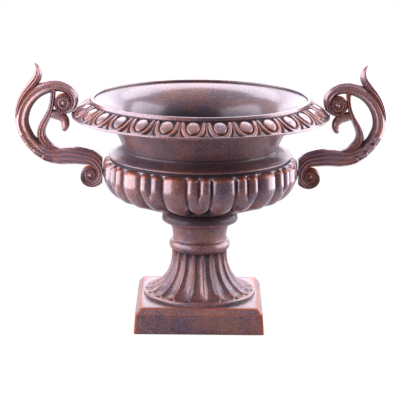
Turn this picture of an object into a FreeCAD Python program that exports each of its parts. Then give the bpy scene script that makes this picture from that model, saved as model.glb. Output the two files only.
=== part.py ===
import FreeCAD, Part
import math
import operator
import os

import Sketcher

# A cast iron garden urn: a gadrooned bowl bolted to a hollow fluted pedestal, with two scroll handles.
# The origin is the middle of the plinth's underside, +Z is up and the handles lie along X.

Vector = FreeCAD.Vector

# Driving dimensions: alias, value in millimetres, degrees or pieces, and what it is
DIMENSIONS = (
    ("plinth_width", 130.4, "square plinth across its foot"),
    ("plinth_height", 25.7, "plinth, foot to top face"),
    ("plinth_draft", 3.5, "draft of the plinth's sides, degrees"),
    ("plinth_bevel", 5.2, "bevel round the plinth's top"),
    ("pedestal_wall", 6.0, "wall of the hollow pedestal"),
    ("pedestal_height", 113.0, "plinth foot to the seat of the bowl"),
    ("seat_plate", 8.0, "plate under the bowl that takes the tie bolt"),
    ("foot_radius", 57.2, "round foot on the plinth"),
    ("foot_edge", 4.1, "upright edge of the round foot"),
    ("foot_step", 0.7, "step from that edge to the fluted roll"),
    ("roll_radius", 10.5, "convex roll at the bottom of the flutes"),
    ("stem_radius", 28.0, "stem at the top of the flutes"),
    ("stem_straight", 4.5, "straight stem between the trumpet and the ring bead"),
    ("flute_count", 19, "flutes round the stem"),
    ("flute_turn", -2.8, "turn of the first flute from the front, degrees"),
    ("flute_depth", 2.6, "depth of a flute at the roll"),
    ("flute_land", 3.0, "width of the ridge between flutes, degrees"),
    ("bead_drop", 40.0, "seat of the bowl down to the bottom of the ring bead"),
    ("bead_height", 12.0, "ring bead, bottom to top"),
    ("bead_bulge", 7.5, "radius of the bead's section"),
    ("scotia_height", 10.0, "hollow above the bead"),
    ("scotia_curve", 9.5, "radius of that hollow"),
    ("disc_radius", 38.0, "lower edge of the disc under the bowl"),
    ("disc_thick", 9.5, "disc, lower edge to seat"),
    ("disc_round", 6.2, "rounding of the disc's edge"),
    ("seat_radius", 34.0, "flat seat on top of the disc"),
    ("boss_radius", 33.0, "boss under the bowl"),
    ("belly_lift", 37.0, "seat of the bowl to the widest line of the belly"),
    ("belly_radius", 99.0, "belly over the crests of the lobes"),
    ("belly_turn", 23.0, "radius of the turn under the belly, over the crests"),
    ("belly_slope", 18.0, "slope of the underside between the lobes, degrees"),
    ("lobe_top", 17.0, "widest line of the belly to the top of the lobes"),
    ("lobe_rise", 4.5, "height of a lobe over the line between lobes"),
    ("lobe_pairs", 12, "wide lobes, with a double lobe between each two"),
    ("double_rise", 4.2, "height of the crests of a double lobe"),
    ("double_groove", 2.0, "height of the groove inside a double lobe"),
    ("bowl_wall", 5.5, "wall of the bowl"),
    ("floor_thick", 10.0, "floor of the bowl at the tie bolt"),
    ("shoulder_inset", 4.0, "belly in to the edge of the band above the lobes"),
    ("shoulder_height", 4.3, "band above the lobes"),
    ("cove_rise", 68.0, "seat of the bowl up to the line where the cove meets the neck"),
    ("cove_curve", 10.5, "radius of the cove above the shoulder"),
    ("neck_inset", 18.0, "belly in to the outside of the neck"),
    ("neck_rise", 86.0, "seat of the bowl up to the start of the rim's flare"),
    ("rim_radius", 130.0, "bottom edge of the rim"),
    ("rim_rise", 98.0, "seat of the bowl up to the bottom of the rim"),
    ("rim_edge", 2.4, "upright edge of the rim"),
    ("rim_hem", 3.5, "width of the rim's bottom edge"),
    ("band_curve", 60.0, "radius across the egg and dart band"),
    ("band_width", 19.7, "rim's bottom edge in to the outside of the lip"),
    ("band_sink", 2.6, "step down from the edges of the band to its ground"),
    ("egg_count", 29, "eggs round the band, with a dart between each two"),
    ("egg_turn", -3.4, "turn of the first egg from the front, degrees"),
    ("egg_length", 16.6, "egg across the band"),
    ("egg_width", 12.6, "egg round the band"),
    ("egg_height", 2.6, "egg above the middle of the ground's chord"),
    ("dart_width", 3.6, "dart round the band"),
    ("lip_width", 6.0, "top of the lip"),
    ("lip_height", 2.6, "lip above the band"),
    ("lip_rise", 116.0, "seat of the bowl up to the top of the lip"),
    ("mouth_curve", 90.0, "radius of the flare inside the rim"),
    ("scroll_out", 15.5, "rim edge to the centre of the handle's big scroll"),
    ("scroll_rise", 88.5, "seat of the bowl up to that centre"),
    ("scroll_radius", 35.0, "centre line of the big scroll"),
    ("strap_thick", 14.0, "strap of the big scroll"),
    ("strap_width", 18.0, "strap across the handle"),
    ("arm_thick", 18.0, "lower arm of the handle"),
    ("volute_radius", 10.5, "disc of the volutes"),
    ("volute_width", 14.0, "disc of the volutes across the handle"),
    ("volute_eye", 3.6, "eye of the volutes"),
    ("foot_volute_out", 12.4, "belly to the centre of the lower volute"),
    ("foot_volute_drop", 4.5, "handle bolt down to the centre of the lower volute"),
    ("strut_thick", 9.0, "strut inside the scroll"),
    ("strut_width", 13.0, "strut across the handle"),
    ("leaf_height", 59.5, "scroll centre up to the tip of the leaf"),
    ("hook_drop", 9.5, "scroll centre down to the tip of the hanging leaf"),
    ("handle_bolt_rise", 39.0, "seat of the bowl up to the bolts that hold the handles"),
    ("handle_bolt_size", 6.0, "those bolts, across the thread"),
    ("handle_bolt_head", 10.0, "their heads, across flats"),
    ("handle_bolt_cap", 4.0, "their heads, height"),
    ("handle_bolt_grip", 14.0, "thread inside the handle"),
    ("handle_washer_radius", 8.0, "their washers"),
    ("handle_washer_thick", 1.6, "their washers, thickness"),
    ("tie_bolt_size", 10.0, "bolt through bowl and pedestal, across the thread"),
    ("tie_bolt_head", 16.0, "its head and nut, across flats"),
    ("tie_bolt_cap", 6.4, "its head, height"),
    ("tie_nut_thick", 8.0, "its nut, height"),
    ("tie_tail", 3.0, "thread showing past the nut"),
    ("tie_washer_radius", 12.0, "its washers"),
    ("tie_washer_thick", 2.0, "its washers, thickness"),
    ("drain_size", 6.0, "drain holes"),
    ("drain_circle", 16.5, "radius that the drain holes lie on"),
    ("drain_count", 3, "drain holes"),
    ("hole_gap", 0.4, "clearance round a bolt in its hole"),
    ("thread_gap", 0.05, "clearance of a thread"),
    ("seat_gap", 0.1, "handle to the bowl, where they bear on each other"),
)

OPERATIONS = {"+": operator.add, "-": operator.sub, "*": operator.mul, "/": operator.truediv}

doc = FreeCAD.newDocument("urn")
sheet = doc.addObject("Spreadsheet::Sheet", "dims")
for row, (alias, number, meaning) in enumerate(DIMENSIONS, 1):
    sheet.set(f"A{row}", meaning)
    sheet.set(f"B{row}", str(number))
    sheet.setAlias(f"B{row}", alias)
doc.recompute()


class Size:
    """A number from the sheet, or worked out from it, with the expression that gives it."""

    def __init__(self, value, text):
        self.value = value
        self.text = text

    @staticmethod
    def join(first, sign, second):
        first, second = as_size(first), as_size(second)
        value = OPERATIONS[sign](first.value, second.value)
        return Size(value, f"({first.text} {sign} {second.text})")

    def __add__(self, other):
        return Size.join(self, "+", other)

    def __radd__(self, other):
        return Size.join(other, "+", self)

    def __sub__(self, other):
        return Size.join(self, "-", other)

    def __rsub__(self, other):
        return Size.join(other, "-", self)

    def __mul__(self, other):
        return Size.join(self, "*", other)

    def __rmul__(self, other):
        return Size.join(other, "*", self)

    def __truediv__(self, other):
        return Size.join(self, "/", other)

    def __neg__(self):
        return Size.join(0, "-", self)

    def __float__(self):
        return float(self.value)


def as_size(number):
    return number if isinstance(number, Size) else Size(number, repr(number))


def size(alias):
    return Size(float(sheet.get(alias)), f"dims.{alias}")


def number(alias):
    return float(sheet.get(alias))


def bind(feature, path, amount):
    feature.setExpression(path, as_size(amount).text)


def new_body(label):
    body = doc.addObject("PartDesign::Body", label)
    body.Label = label
    return body


def origin_part(body, role):
    return next(item for item in body.Origin.OriginFeatures if item.Role == role)


def new_sketch(body, name, plane):
    sketch = body.newObject("Sketcher::SketchObject", name)
    sketch.AttachmentSupport = [(origin_part(body, plane), "")]
    sketch.MapMode = "FlatFace"
    return sketch


def place(sketch, element, point, x, y):
    """Fixes a point of a sketch at a place given by two sizes."""
    for kind, amount, axis in (("DistanceX", x, -2), ("DistanceY", y, -1)):
        amount = as_size(amount)
        if amount.value == 0:
            sketch.addConstraint(Sketcher.Constraint("PointOnObject", element, point, axis))
        else:
            rule = Sketcher.Constraint(kind, -1, 1, element, point, amount.value)
            index = sketch.addConstraint(rule)
            bind(sketch, f"Constraints[{index}]", amount)


def outline(sketch, corners):
    """Draws a closed outline. A third entry at a corner is the radius of the arc that leaves it, with its
    centre on the left when the radius is positive and on the right when it is negative."""
    ends = []
    for index, corner in enumerate(corners):
        following = corners[(index + 1) % len(corners)]
        start = Vector(float(corner[0]), float(corner[1]), 0)
        end = Vector(float(following[0]), float(following[1]), 0)
        if len(corner) == 2:
            element = sketch.addGeometry(Part.LineSegment(start, end), False)
            ends.append((element, 1, 2))
            continue
        radius = abs(float(corner[2]))
        left = float(corner[2]) > 0
        chord = end - start
        normal = Vector(-chord.y, chord.x, 0).normalize() * (1 if left else -1)
        centre = (start + end) / 2 + normal * math.sqrt(radius ** 2 - chord.Length ** 2 / 4)
        first, last = (start, end) if left else (end, start)
        angles = [math.atan2(p.y - centre.y, p.x - centre.x) for p in (first, last)]
        circle = Part.Circle(centre, Vector(0, 0, 1), radius)
        element = sketch.addGeometry(Part.ArcOfCircle(circle, *angles), False)
        index = sketch.addConstraint(Sketcher.Constraint("Radius", element, radius))
        bind(sketch, f"Constraints[{index}]", corner[2] if left else -corner[2])
        ends.append((element, 1, 2) if left else (element, 2, 1))
    for index, (element, start, end) in enumerate(ends):
        following = ends[(index + 1) % len(ends)]
        sketch.addConstraint(Sketcher.Constraint("Coincident", element, end, following[0], following[1]))
        place(sketch, element, start, corners[index][0], corners[index][1])


def circle(sketch, radius, x=0, y=0):
    centre = Vector(float(as_size(x)), float(as_size(y)), 0)
    element = sketch.addGeometry(Part.Circle(centre, Vector(0, 0, 1), float(radius)), False)
    index = sketch.addConstraint(Sketcher.Constraint("Radius", element, float(radius)))
    bind(sketch, f"Constraints[{index}]", radius)
    place(sketch, element, 3, x, y)


def square(sketch, width):
    half = width / 2
    outline(sketch, [(-half, -half), (half, -half), (half, half), (-half, half)])


def hexagon(sketch, flats):
    """Six corners from the width across flats."""
    half = flats / 2
    side = flats * 0.288675
    tip = flats * 0.57735
    outline(sketch, [(half, -side), (half, side), (0, tip), (-half, side), (-half, -side), (0, -tip)])


def extrude(body, kind, name, sketch, length, both=False, reverse=False):
    feature = body.newObject(f"PartDesign::{kind}", name)
    feature.Profile = sketch
    feature.Midplane = both
    feature.Reversed = reverse
    bind(feature, "Length", length)
    return feature


def revolve(body, kind, name, corners):
    sketch = new_sketch(body, f"{name}_profile", "XZ_Plane")
    outline(sketch, corners)
    feature = body.newObject(f"PartDesign::{kind}", name)
    feature.Profile = sketch
    feature.ReferenceAxis = (sketch, ["V_Axis"])
    feature.Angle = 360
    return feature


def polar(body, name, feature, count):
    pattern = body.newObject("PartDesign::PolarPattern", name)
    pattern.Originals = [feature]
    pattern.Axis = (origin_part(body, "Z_Axis"), [""])
    pattern.Angle = 360
    bind(pattern, "Occurrences", count)
    body.Tip = pattern
    return pattern


def around(radius, height, degrees):
    """A point round the axis, with zero degrees at the front."""
    angle = math.radians(degrees)
    return Vector(radius * math.sin(angle), -radius * math.cos(angle), height)


def skin_face(rows):
    """A smooth face. Each row holds the control points of one ring, and the first and last rows are met."""
    count = len(rows)
    across = len(rows[0]) - 1
    along = 3
    columns = [[row[index] for row in rows] for index in range(across + 1)]
    knots = [float(index) for index in range(count - along + 1)]
    repeats = [along + 1] + [1] * (count - along - 1) + [along + 1]
    surface = Part.BSplineSurface()
    surface.buildFromPolesMultsKnots(columns, [across + 1] * 2, repeats, [0.0, 1.0], knots,
                                     False, False, across, along)
    return surface.toShape()


def ring_edge(points):
    curve = Part.BezierCurve()
    curve.setPoles(points)
    return curve.toShape()


def ring_skin(name, rings):
    """A solid with a smooth skin over rings of control points. Each ring is a list of segments that follow
    each other round the axis, and the first and last rings are level."""
    faces = [skin_face([ring[index] for ring in rings]) for index in range(len(rings[0]))]
    for ring in (rings[0], rings[-1]):
        faces.append(Part.Face(Part.Wire([ring_edge(segment) for segment in ring])))
    shell = Part.makeShell(faces)
    shell.sewShape(SEWING)
    solid = Part.makeSolid(shell)
    if solid.Volume < 0:
        solid.reverse()
    feature = doc.addObject("Part::Feature", name)
    feature.Shape = solid
    return feature


SEWING = 1e-5


def outset(turn):
    """How far control points stand off an arc, as a ratio, when they are this angle apart."""
    return 3 / (2 + math.cos(turn))


# Heights and radii that several pieces share

seat_height = size("pedestal_height")
foot_top = size("plinth_height") + size("foot_edge")
bead_base = seat_height - size("bead_drop")
roll_centre = size("foot_radius") - size("foot_step") - size("roll_radius")
flare_height = bead_base - size("stem_straight")
flare_rise = flare_height - foot_top
roll_reach = roll_centre - size("stem_radius")
flare_square = flare_rise * flare_rise + roll_reach * roll_reach - size("roll_radius") * size("roll_radius")
flare_radius = flare_square / (2 * (size("roll_radius") + roll_reach))
shoulder_radius = size("belly_radius") - size("shoulder_inset")
neck_radius = size("belly_radius") - size("neck_inset")
cove_top = seat_height + size("cove_rise")
flare_start = seat_height + size("neck_rise")
rim_base = seat_height + size("rim_rise")
lip_radius = size("rim_radius") - size("band_width")
lip_top = seat_height + size("lip_rise")
band_top = lip_top - size("lip_height")
bolt_level = seat_height + size("handle_bolt_rise")


# Gadroons: wide lobes alternate with double ones, and all fade out at the shoulder and at the boss

BOSS_MARGIN = 3.0
SHOULDER_FADE = ((1.0, 0.0), (0.96, 0.9), (0.8, 1.0), (0.4, 1.0), (0.1, 1.0))
TURN_STEPS = 4
WIDE_LOBE = ((0, 0), (0.06, 0.5), (0.17, 0.82), (0.33, 0.97), (0.67, 0.97), (0.83, 0.82), (0.94, 0.5), (1, 0))
HALF_LOBE = ((0, 0), (0.1, 0.5), (0.3, 0.9), (0.5, 1.0), (0.7, 0.9), (0.9, 0.5), (1, 0))
UNDERSIDE_FADE = ((0.8, 0.92), (0.58, 0.62), (0.38, 0.2), (0.18, 0.0), (0.0, 0.0))


def gadroon_ring(radius, height, lean, share):
    """One ring of lobes. Lean is the angle of the wall's normal below the horizontal."""
    rise = number("lobe_rise") * share
    crest = number("double_rise") * share
    groove = number("double_groove") * share
    step = 180 / number("lobe_pairs")
    out = math.cos(lean)
    down = math.sin(lean)

    def point(height_over, degrees):
        return around(radius + height_over * out, height - height_over * down, degrees)

    def lobe(first, last, top, start, width, shape):
        """Narrow facets from one side of a lobe to the other, with its crest at the height top."""
        swell = top - (first + last) / 2
        points = []
        for across, share_of_swell in shape:
            level = first + (last - first) * across + swell * share_of_swell
            points.append(point(level, start + width * across))
        return [list(pair) for pair in zip(points, points[1:])]

    segments = []
    for pair in range(int(number("lobe_pairs"))):
        middle = 2 * step * pair
        segments += lobe(0, groove, crest, middle - step / 2, step / 2, HALF_LOBE)
        segments += lobe(groove, 0, crest, middle, step / 2, HALF_LOBE)
        segments += lobe(0, 0, rise, middle + step / 2, step, WIDE_LOBE)
    return segments


def make_gadroons():
    turn = number("belly_turn") - number("lobe_rise")
    valley = number("belly_radius") - number("lobe_rise")
    centre_radius = valley - turn
    centre_height = number("pedestal_height") + number("belly_lift")
    slope = math.radians(number("belly_slope"))
    rings = []
    for part, share in SHOULDER_FADE:
        rings.append(gadroon_ring(valley, centre_height + part * number("lobe_top"), 0, share))
    swing = (math.pi / 2 - slope) / TURN_STEPS
    for step in range(TURN_STEPS + 1):
        lean = swing * step
        reach = turn * (outset(swing) if 0 < step < TURN_STEPS else 1)
        radius = centre_radius + reach * math.cos(lean)
        rings.append(gadroon_ring(radius, centre_height - reach * math.sin(lean), lean, 1.0))
    turn_end = centre_radius + turn * math.sin(slope)
    turn_height = centre_height - turn * math.cos(slope)
    inner = number("boss_radius") + BOSS_MARGIN
    for part, share in UNDERSIDE_FADE:
        radius = inner + (turn_end - inner) * part
        height = turn_height - (turn_end - radius) * math.tan(slope)
        rings.append(gadroon_ring(radius, height, math.pi / 2 - slope, share))
    return ring_skin("gadroons", rings)


# Flutes: hollows down the trumpet that close in round ends on the roll

CURVE_STEPS = 5
ROLL_END = ((1.0, 1.0), (1.0, 1.0), (0.96, 0.9), (0.8, 0.6), (0.5, 0.2), (0.3, 0.0))


def flute_ring(radius, height, out, up, width, depth):
    """One ring of flutes between ridges. Out and up give the wall's normal."""
    pitch = 360 / number("flute_count")
    half = (pitch - number("flute_land")) / 2 * width
    segments = []
    for index in range(int(number("flute_count"))):
        middle = number("flute_turn") + pitch * index
        left, right = around(radius, height, middle - half), around(radius, height, middle + half)
        bottom = around(radius - depth * out, height - depth * up, middle)
        segments.append([left, 2 * bottom - (left + right) / 2, right])
        segments.append([right, around(radius, height, middle + pitch - half)])
    return segments


def make_trumpet():
    flare, roll = float(flare_radius), number("roll_radius")
    flare_centre = number("stem_radius") + flare
    meeting = math.atan2(float(flare_rise), flare_centre - float(roll_centre))
    swing = meeting / CURVE_STEPS
    depth = number("flute_depth")
    top = float(bead_base) + number("bead_height") / 4
    slender = number("stem_radius") / number("foot_radius")
    rings = []
    for height in (top, float(flare_height) + (top - float(flare_height)) / 2):
        rings.append(flute_ring(number("stem_radius"), height, 1, 0, 1.0, depth * slender))
    for step in range(CURVE_STEPS):
        angle = swing * step
        reach = flare * (outset(swing) if step else 1)
        radius = flare_centre - reach * math.cos(angle)
        height = float(flare_height) - reach * math.sin(angle)
        hollow = depth * radius / number("foot_radius")
        rings.append(flute_ring(radius, height, math.cos(angle), math.sin(angle), 1.0, hollow))
    for step, (width, share) in enumerate(ROLL_END):
        angle = meeting - swing * step
        reach = roll * (outset(swing) if 0 < step < CURVE_STEPS else 1)
        radius = float(roll_centre) + reach * math.cos(angle)
        height = float(foot_top) + reach * math.sin(angle)
        rings.append(flute_ring(radius, height, math.cos(angle), math.sin(angle), width, depth * share))
    return ring_skin("trumpet", rings)


# Pedestal: plinth, round foot, fluted trumpet, ring bead and disc in one hollow casting

pedestal = new_body("pedestal")
pedestal.BaseFeature = make_trumpet()
plinth_sketch = new_sketch(pedestal, "plinth_outline", "XY_Plane")
square(plinth_sketch, size("plinth_width"))
plinth = extrude(pedestal, "Pad", "plinth", plinth_sketch, size("plinth_height"))
bind(plinth, "TaperAngle", -size("plinth_draft"))
doc.recompute()


def straight_edges_at(shape, height):
    names = []
    for index, edge in enumerate(shape.Edges, 1):
        level = all(abs(vertex.Z - height) < 1e-4 for vertex in edge.Vertexes)
        if level and isinstance(edge.Curve, Part.Line):
            names.append(f"Edge{index}")
    return names


plinth_bevel = pedestal.newObject("PartDesign::Chamfer", "plinth_bevel")
plinth_bevel.Base = (plinth, straight_edges_at(plinth.Shape, number("plinth_height")))
bind(plinth_bevel, "Size", size("plinth_bevel"))

revolve(pedestal, "Revolution", "round_foot", [
    (0, size("plinth_height") - size("pedestal_wall") / 2),
    (size("foot_radius"), size("plinth_height") - size("pedestal_wall") / 2),
    (size("foot_radius"), foot_top),
    (0, foot_top),
])

bead_top = bead_base + size("bead_height")
scotia_top = bead_top + size("scotia_height")
disc_base = seat_height - size("disc_thick")
revolve(pedestal, "Revolution", "bead_and_disc", [
    (0, bead_base),
    (size("stem_radius") + 0.3, bead_base, size("bead_bulge")),
    (size("stem_radius") + 0.3, bead_top, -size("scotia_curve")),
    (size("stem_radius") + 1.5, scotia_top),
    (size("stem_radius") + 2.8, scotia_top + 0.8),
    (size("disc_radius"), disc_base, size("disc_round")),
    (size("seat_radius"), seat_height),
    (0, seat_height),
])

bore = size("stem_radius") - size("pedestal_wall") - 0.5
ceiling = size("plinth_height") - size("pedestal_wall")
mouth = size("foot_radius") - size("pedestal_wall") * 1.8
cone_base = foot_top + size("roll_radius") * 0.3
cone_top = foot_top + (bead_base - foot_top) * 0.65
revolve(pedestal, "Groove", "stem_hollow", [
    (0, ceiling / 2),
    (mouth, ceiling / 2),
    (mouth - size("pedestal_wall"), cone_base),
    (bore, cone_top),
    (bore, seat_height - size("seat_plate")),
    (0, seat_height - size("seat_plate")),
])
hollow_sketch = new_sketch(pedestal, "plinth_hollow_outline", "XY_Plane")
square(hollow_sketch, size("plinth_width") - 2 * size("pedestal_wall"))
extrude(pedestal, "Pocket", "plinth_hollow", hollow_sketch, ceiling, reverse=True)


def upright_holes(body, reach):
    """The hole for the tie bolt and the drain holes, from the underside up."""
    bolt_sketch = new_sketch(body, f"{body.Label}_tie_hole_outline", "XY_Plane")
    circle(bolt_sketch, size("tie_bolt_size") / 2 + size("hole_gap"))
    extrude(body, "Pocket", f"{body.Label}_tie_hole", bolt_sketch, reach, reverse=True)
    drain_sketch = new_sketch(body, f"{body.Label}_drain_outline", "XY_Plane")
    circle(drain_sketch, size("drain_size") / 2, 0, -size("drain_circle"))
    drain = extrude(body, "Pocket", f"{body.Label}_drain", drain_sketch, reach, reverse=True)
    polar(body, f"{body.Label}_drains", drain, size("drain_count"))


upright_holes(pedestal, seat_height + 1)

# Bowl: gadrooned belly, shoulder, neck and flared rim in one casting

belly_height = seat_height + size("belly_lift")
lobes_end = belly_height + size("lobe_top")
valley_radius = size("belly_radius") - size("lobe_rise")
belly_inside = valley_radius - size("bowl_wall")
turn_inside = size("belly_turn") - size("lobe_rise") - size("bowl_wall")
turn_centre = belly_inside - turn_inside
neck_inside = neck_radius - size("bowl_wall")
shoulder_top = lobes_end + size("shoulder_height")
shoulder_inner = shoulder_radius - size("shoulder_height")
lip_inside = lip_radius - size("lip_width")
floor_top = seat_height + size("floor_thick")

bowl = new_body("bowl")
bowl.BaseFeature = make_gadroons()
revolve(bowl, "Revolution", "boss", [
    (0, seat_height),
    (size("boss_radius"), seat_height),
    (size("boss_radius"), seat_height + 3),
    (size("boss_radius") + BOSS_MARGIN, floor_top - 3),
    (size("boss_radius") + BOSS_MARGIN, floor_top),
    (0, floor_top),
])
hem_inside = size("rim_radius") - size("rim_hem")
flare_out = lip_inside + 2.0
flare_end = band_top - size("bowl_wall") - 1.0
ground_radius = size("rim_radius") - size("band_sink")
ground_top = band_top - size("band_sink")
revolve(bowl, "Revolution", "neck_and_rim", [
    (0, lobes_end - 1),
    (valley_radius - 1, lobes_end - 1),
    (valley_radius - 1, lobes_end + 0.4),
    (shoulder_radius, lobes_end + 0.4),
    (shoulder_inner, shoulder_top, -size("cove_curve")),
    (neck_radius, cove_top),
    (neck_radius, flare_start, -size("mouth_curve")),
    (flare_out, flare_end),
    (hem_inside, rim_base),
    (size("rim_radius"), rim_base),
    (size("rim_radius"), rim_base + size("rim_edge")),
    (ground_radius, rim_base + size("rim_edge"), size("band_curve")),
    (lip_radius, ground_top),
    (lip_radius, lip_top),
    (0, lip_top),
])
revolve(bowl, "Groove", "bowl_hollow", [
    (0, floor_top),
    (size("boss_radius") - 2, floor_top),
    (turn_centre, belly_height - turn_inside, turn_inside),
    (belly_inside, belly_height),
    (belly_inside, lobes_end - 5),
    (neck_inside, cove_top - 1),
    (neck_inside, flare_start + 3, -size("mouth_curve")),
    (lip_inside, lip_top - 0.8),
    (lip_inside, lip_top + 5),
    (0, lip_top + 5),
])
upright_holes(bowl, lip_top)


def band_oval(name, turn, width):
    """An oval on the ground of the band, as high and as long as the eggs."""
    angle = math.radians(turn)
    radial = Vector(math.sin(angle), -math.cos(angle), 0)
    foot = radial * float(ground_radius) + Vector(0, 0, float(rim_base) + number("rim_edge"))
    crown = radial * float(lip_radius) + Vector(0, 0, float(ground_top))
    across_band = (crown - foot).normalize()
    round_band = Vector(math.cos(angle), math.sin(angle), 0)
    oval = bowl.newObject("PartDesign::AdditiveEllipsoid", name)
    tilt = FreeCAD.Rotation(across_band, round_band, across_band.cross(round_band), "XYZ")
    oval.Placement = FreeCAD.Placement((foot + crown) / 2, tilt)
    bind(oval, "Radius1", size("egg_height"))
    bind(oval, "Radius2", size("egg_length") / 2)
    bind(oval, "Radius3", width / 2)
    return oval


half_pitch = 180 / number("egg_count")
egg = band_oval("egg", number("egg_turn"), size("egg_width"))
polar(bowl, "eggs", egg, size("egg_count"))
dart = band_oval("dart", number("egg_turn") + half_pitch, size("dart_width"))
polar(bowl, "darts", dart, size("egg_count"))

washer_seat = belly_inside + 0.4
spot_sketch = new_sketch(bowl, "washer_seats_outline", "YZ_Plane")
circle(spot_sketch, size("handle_washer_radius") + 1, 0, bolt_level)
extrude(bowl, "Pocket", "washer_seats", spot_sketch, 2 * washer_seat, both=True)
side_sketch = new_sketch(bowl, "handle_holes_outline", "YZ_Plane")
circle(side_sketch, size("handle_bolt_size") / 2 + size("hole_gap"), 0, bolt_level)
extrude(bowl, "Pocket", "handle_holes", side_sketch, 2 * size("belly_radius") + 4, both=True)
doc.recompute()

# Handles: straps that taper into volutes, with a leaf, a strut and a hanging leaf inside the scroll

SECTION_POINTS = 12
SOFTNESS = 0.75
VOLUTE_DECAY = 66.0


def strap_section(centre, across, thick, width):
    """A soft rectangle square to a strap, wide along Y and thick along the vector across."""
    points = []
    for step in range(SECTION_POINTS):
        angle = 2 * math.pi * step / SECTION_POINTS
        flat = math.copysign(abs(math.cos(angle)) ** SOFTNESS, math.cos(angle)) * thick / 2
        side = math.copysign(abs(math.sin(angle)) ** SOFTNESS, math.sin(angle)) * width / 2
        points.append(centre + across * flat + Vector(0, side, 0))
    curve = Part.BSplineCurve()
    knots = [float(step) for step in range(SECTION_POINTS + 1)]
    curve.interpolate(Points=points, PeriodicFlag=True, Parameters=knots)
    return Part.Wire([curve.toShape()])


def strap(stations):
    """A strap through stations of (x, z, thickness, width)."""
    centres = [Vector(x, 0, z) for x, z, thick, width in stations]
    line = Part.BSplineCurve()
    line.interpolate(centres)
    sections = []
    for centre, (x, z, thick, width) in zip(centres, stations):
        along = line.tangent(line.parameter(centre))[0]
        sections.append(strap_section(centre, Vector(along.z, 0, -along.x), thick, width))
    return Part.makeLoft(sections, True, False)


def volute_stations(x, z, first, last, reach, thick, width, steps):
    """Stations of a strap that winds onto the disc of a volute centred at x, z."""
    disc = number("volute_radius")
    stations = []
    for step in range(steps + 1):
        part = step / steps
        turned = abs(last - first) * part
        edge = disc + (reach - disc) * math.exp(-turned / VOLUTE_DECAY)
        thin = thick * (1 - 0.68 * part)
        angle = math.radians(first + (last - first) * part)
        radius = edge - thin / 2
        narrow = width * (1 - 0.16 * part)
        stations.append((x + radius * math.cos(angle), z + radius * math.sin(angle), thin, narrow))
    return stations


def volute_disc(x, z):
    half = number("volute_width") / 2
    radius = number("volute_radius")
    across = Vector(0, 1, 0)
    disc = Part.makeCylinder(radius, 2 * half, Vector(x, -half, z), across)
    eye_half = number("strap_width") / 2
    eye = Part.makeCylinder(number("volute_eye"), 2 * eye_half, Vector(x, -eye_half, z), across)
    return disc.fuse(eye)


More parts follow.
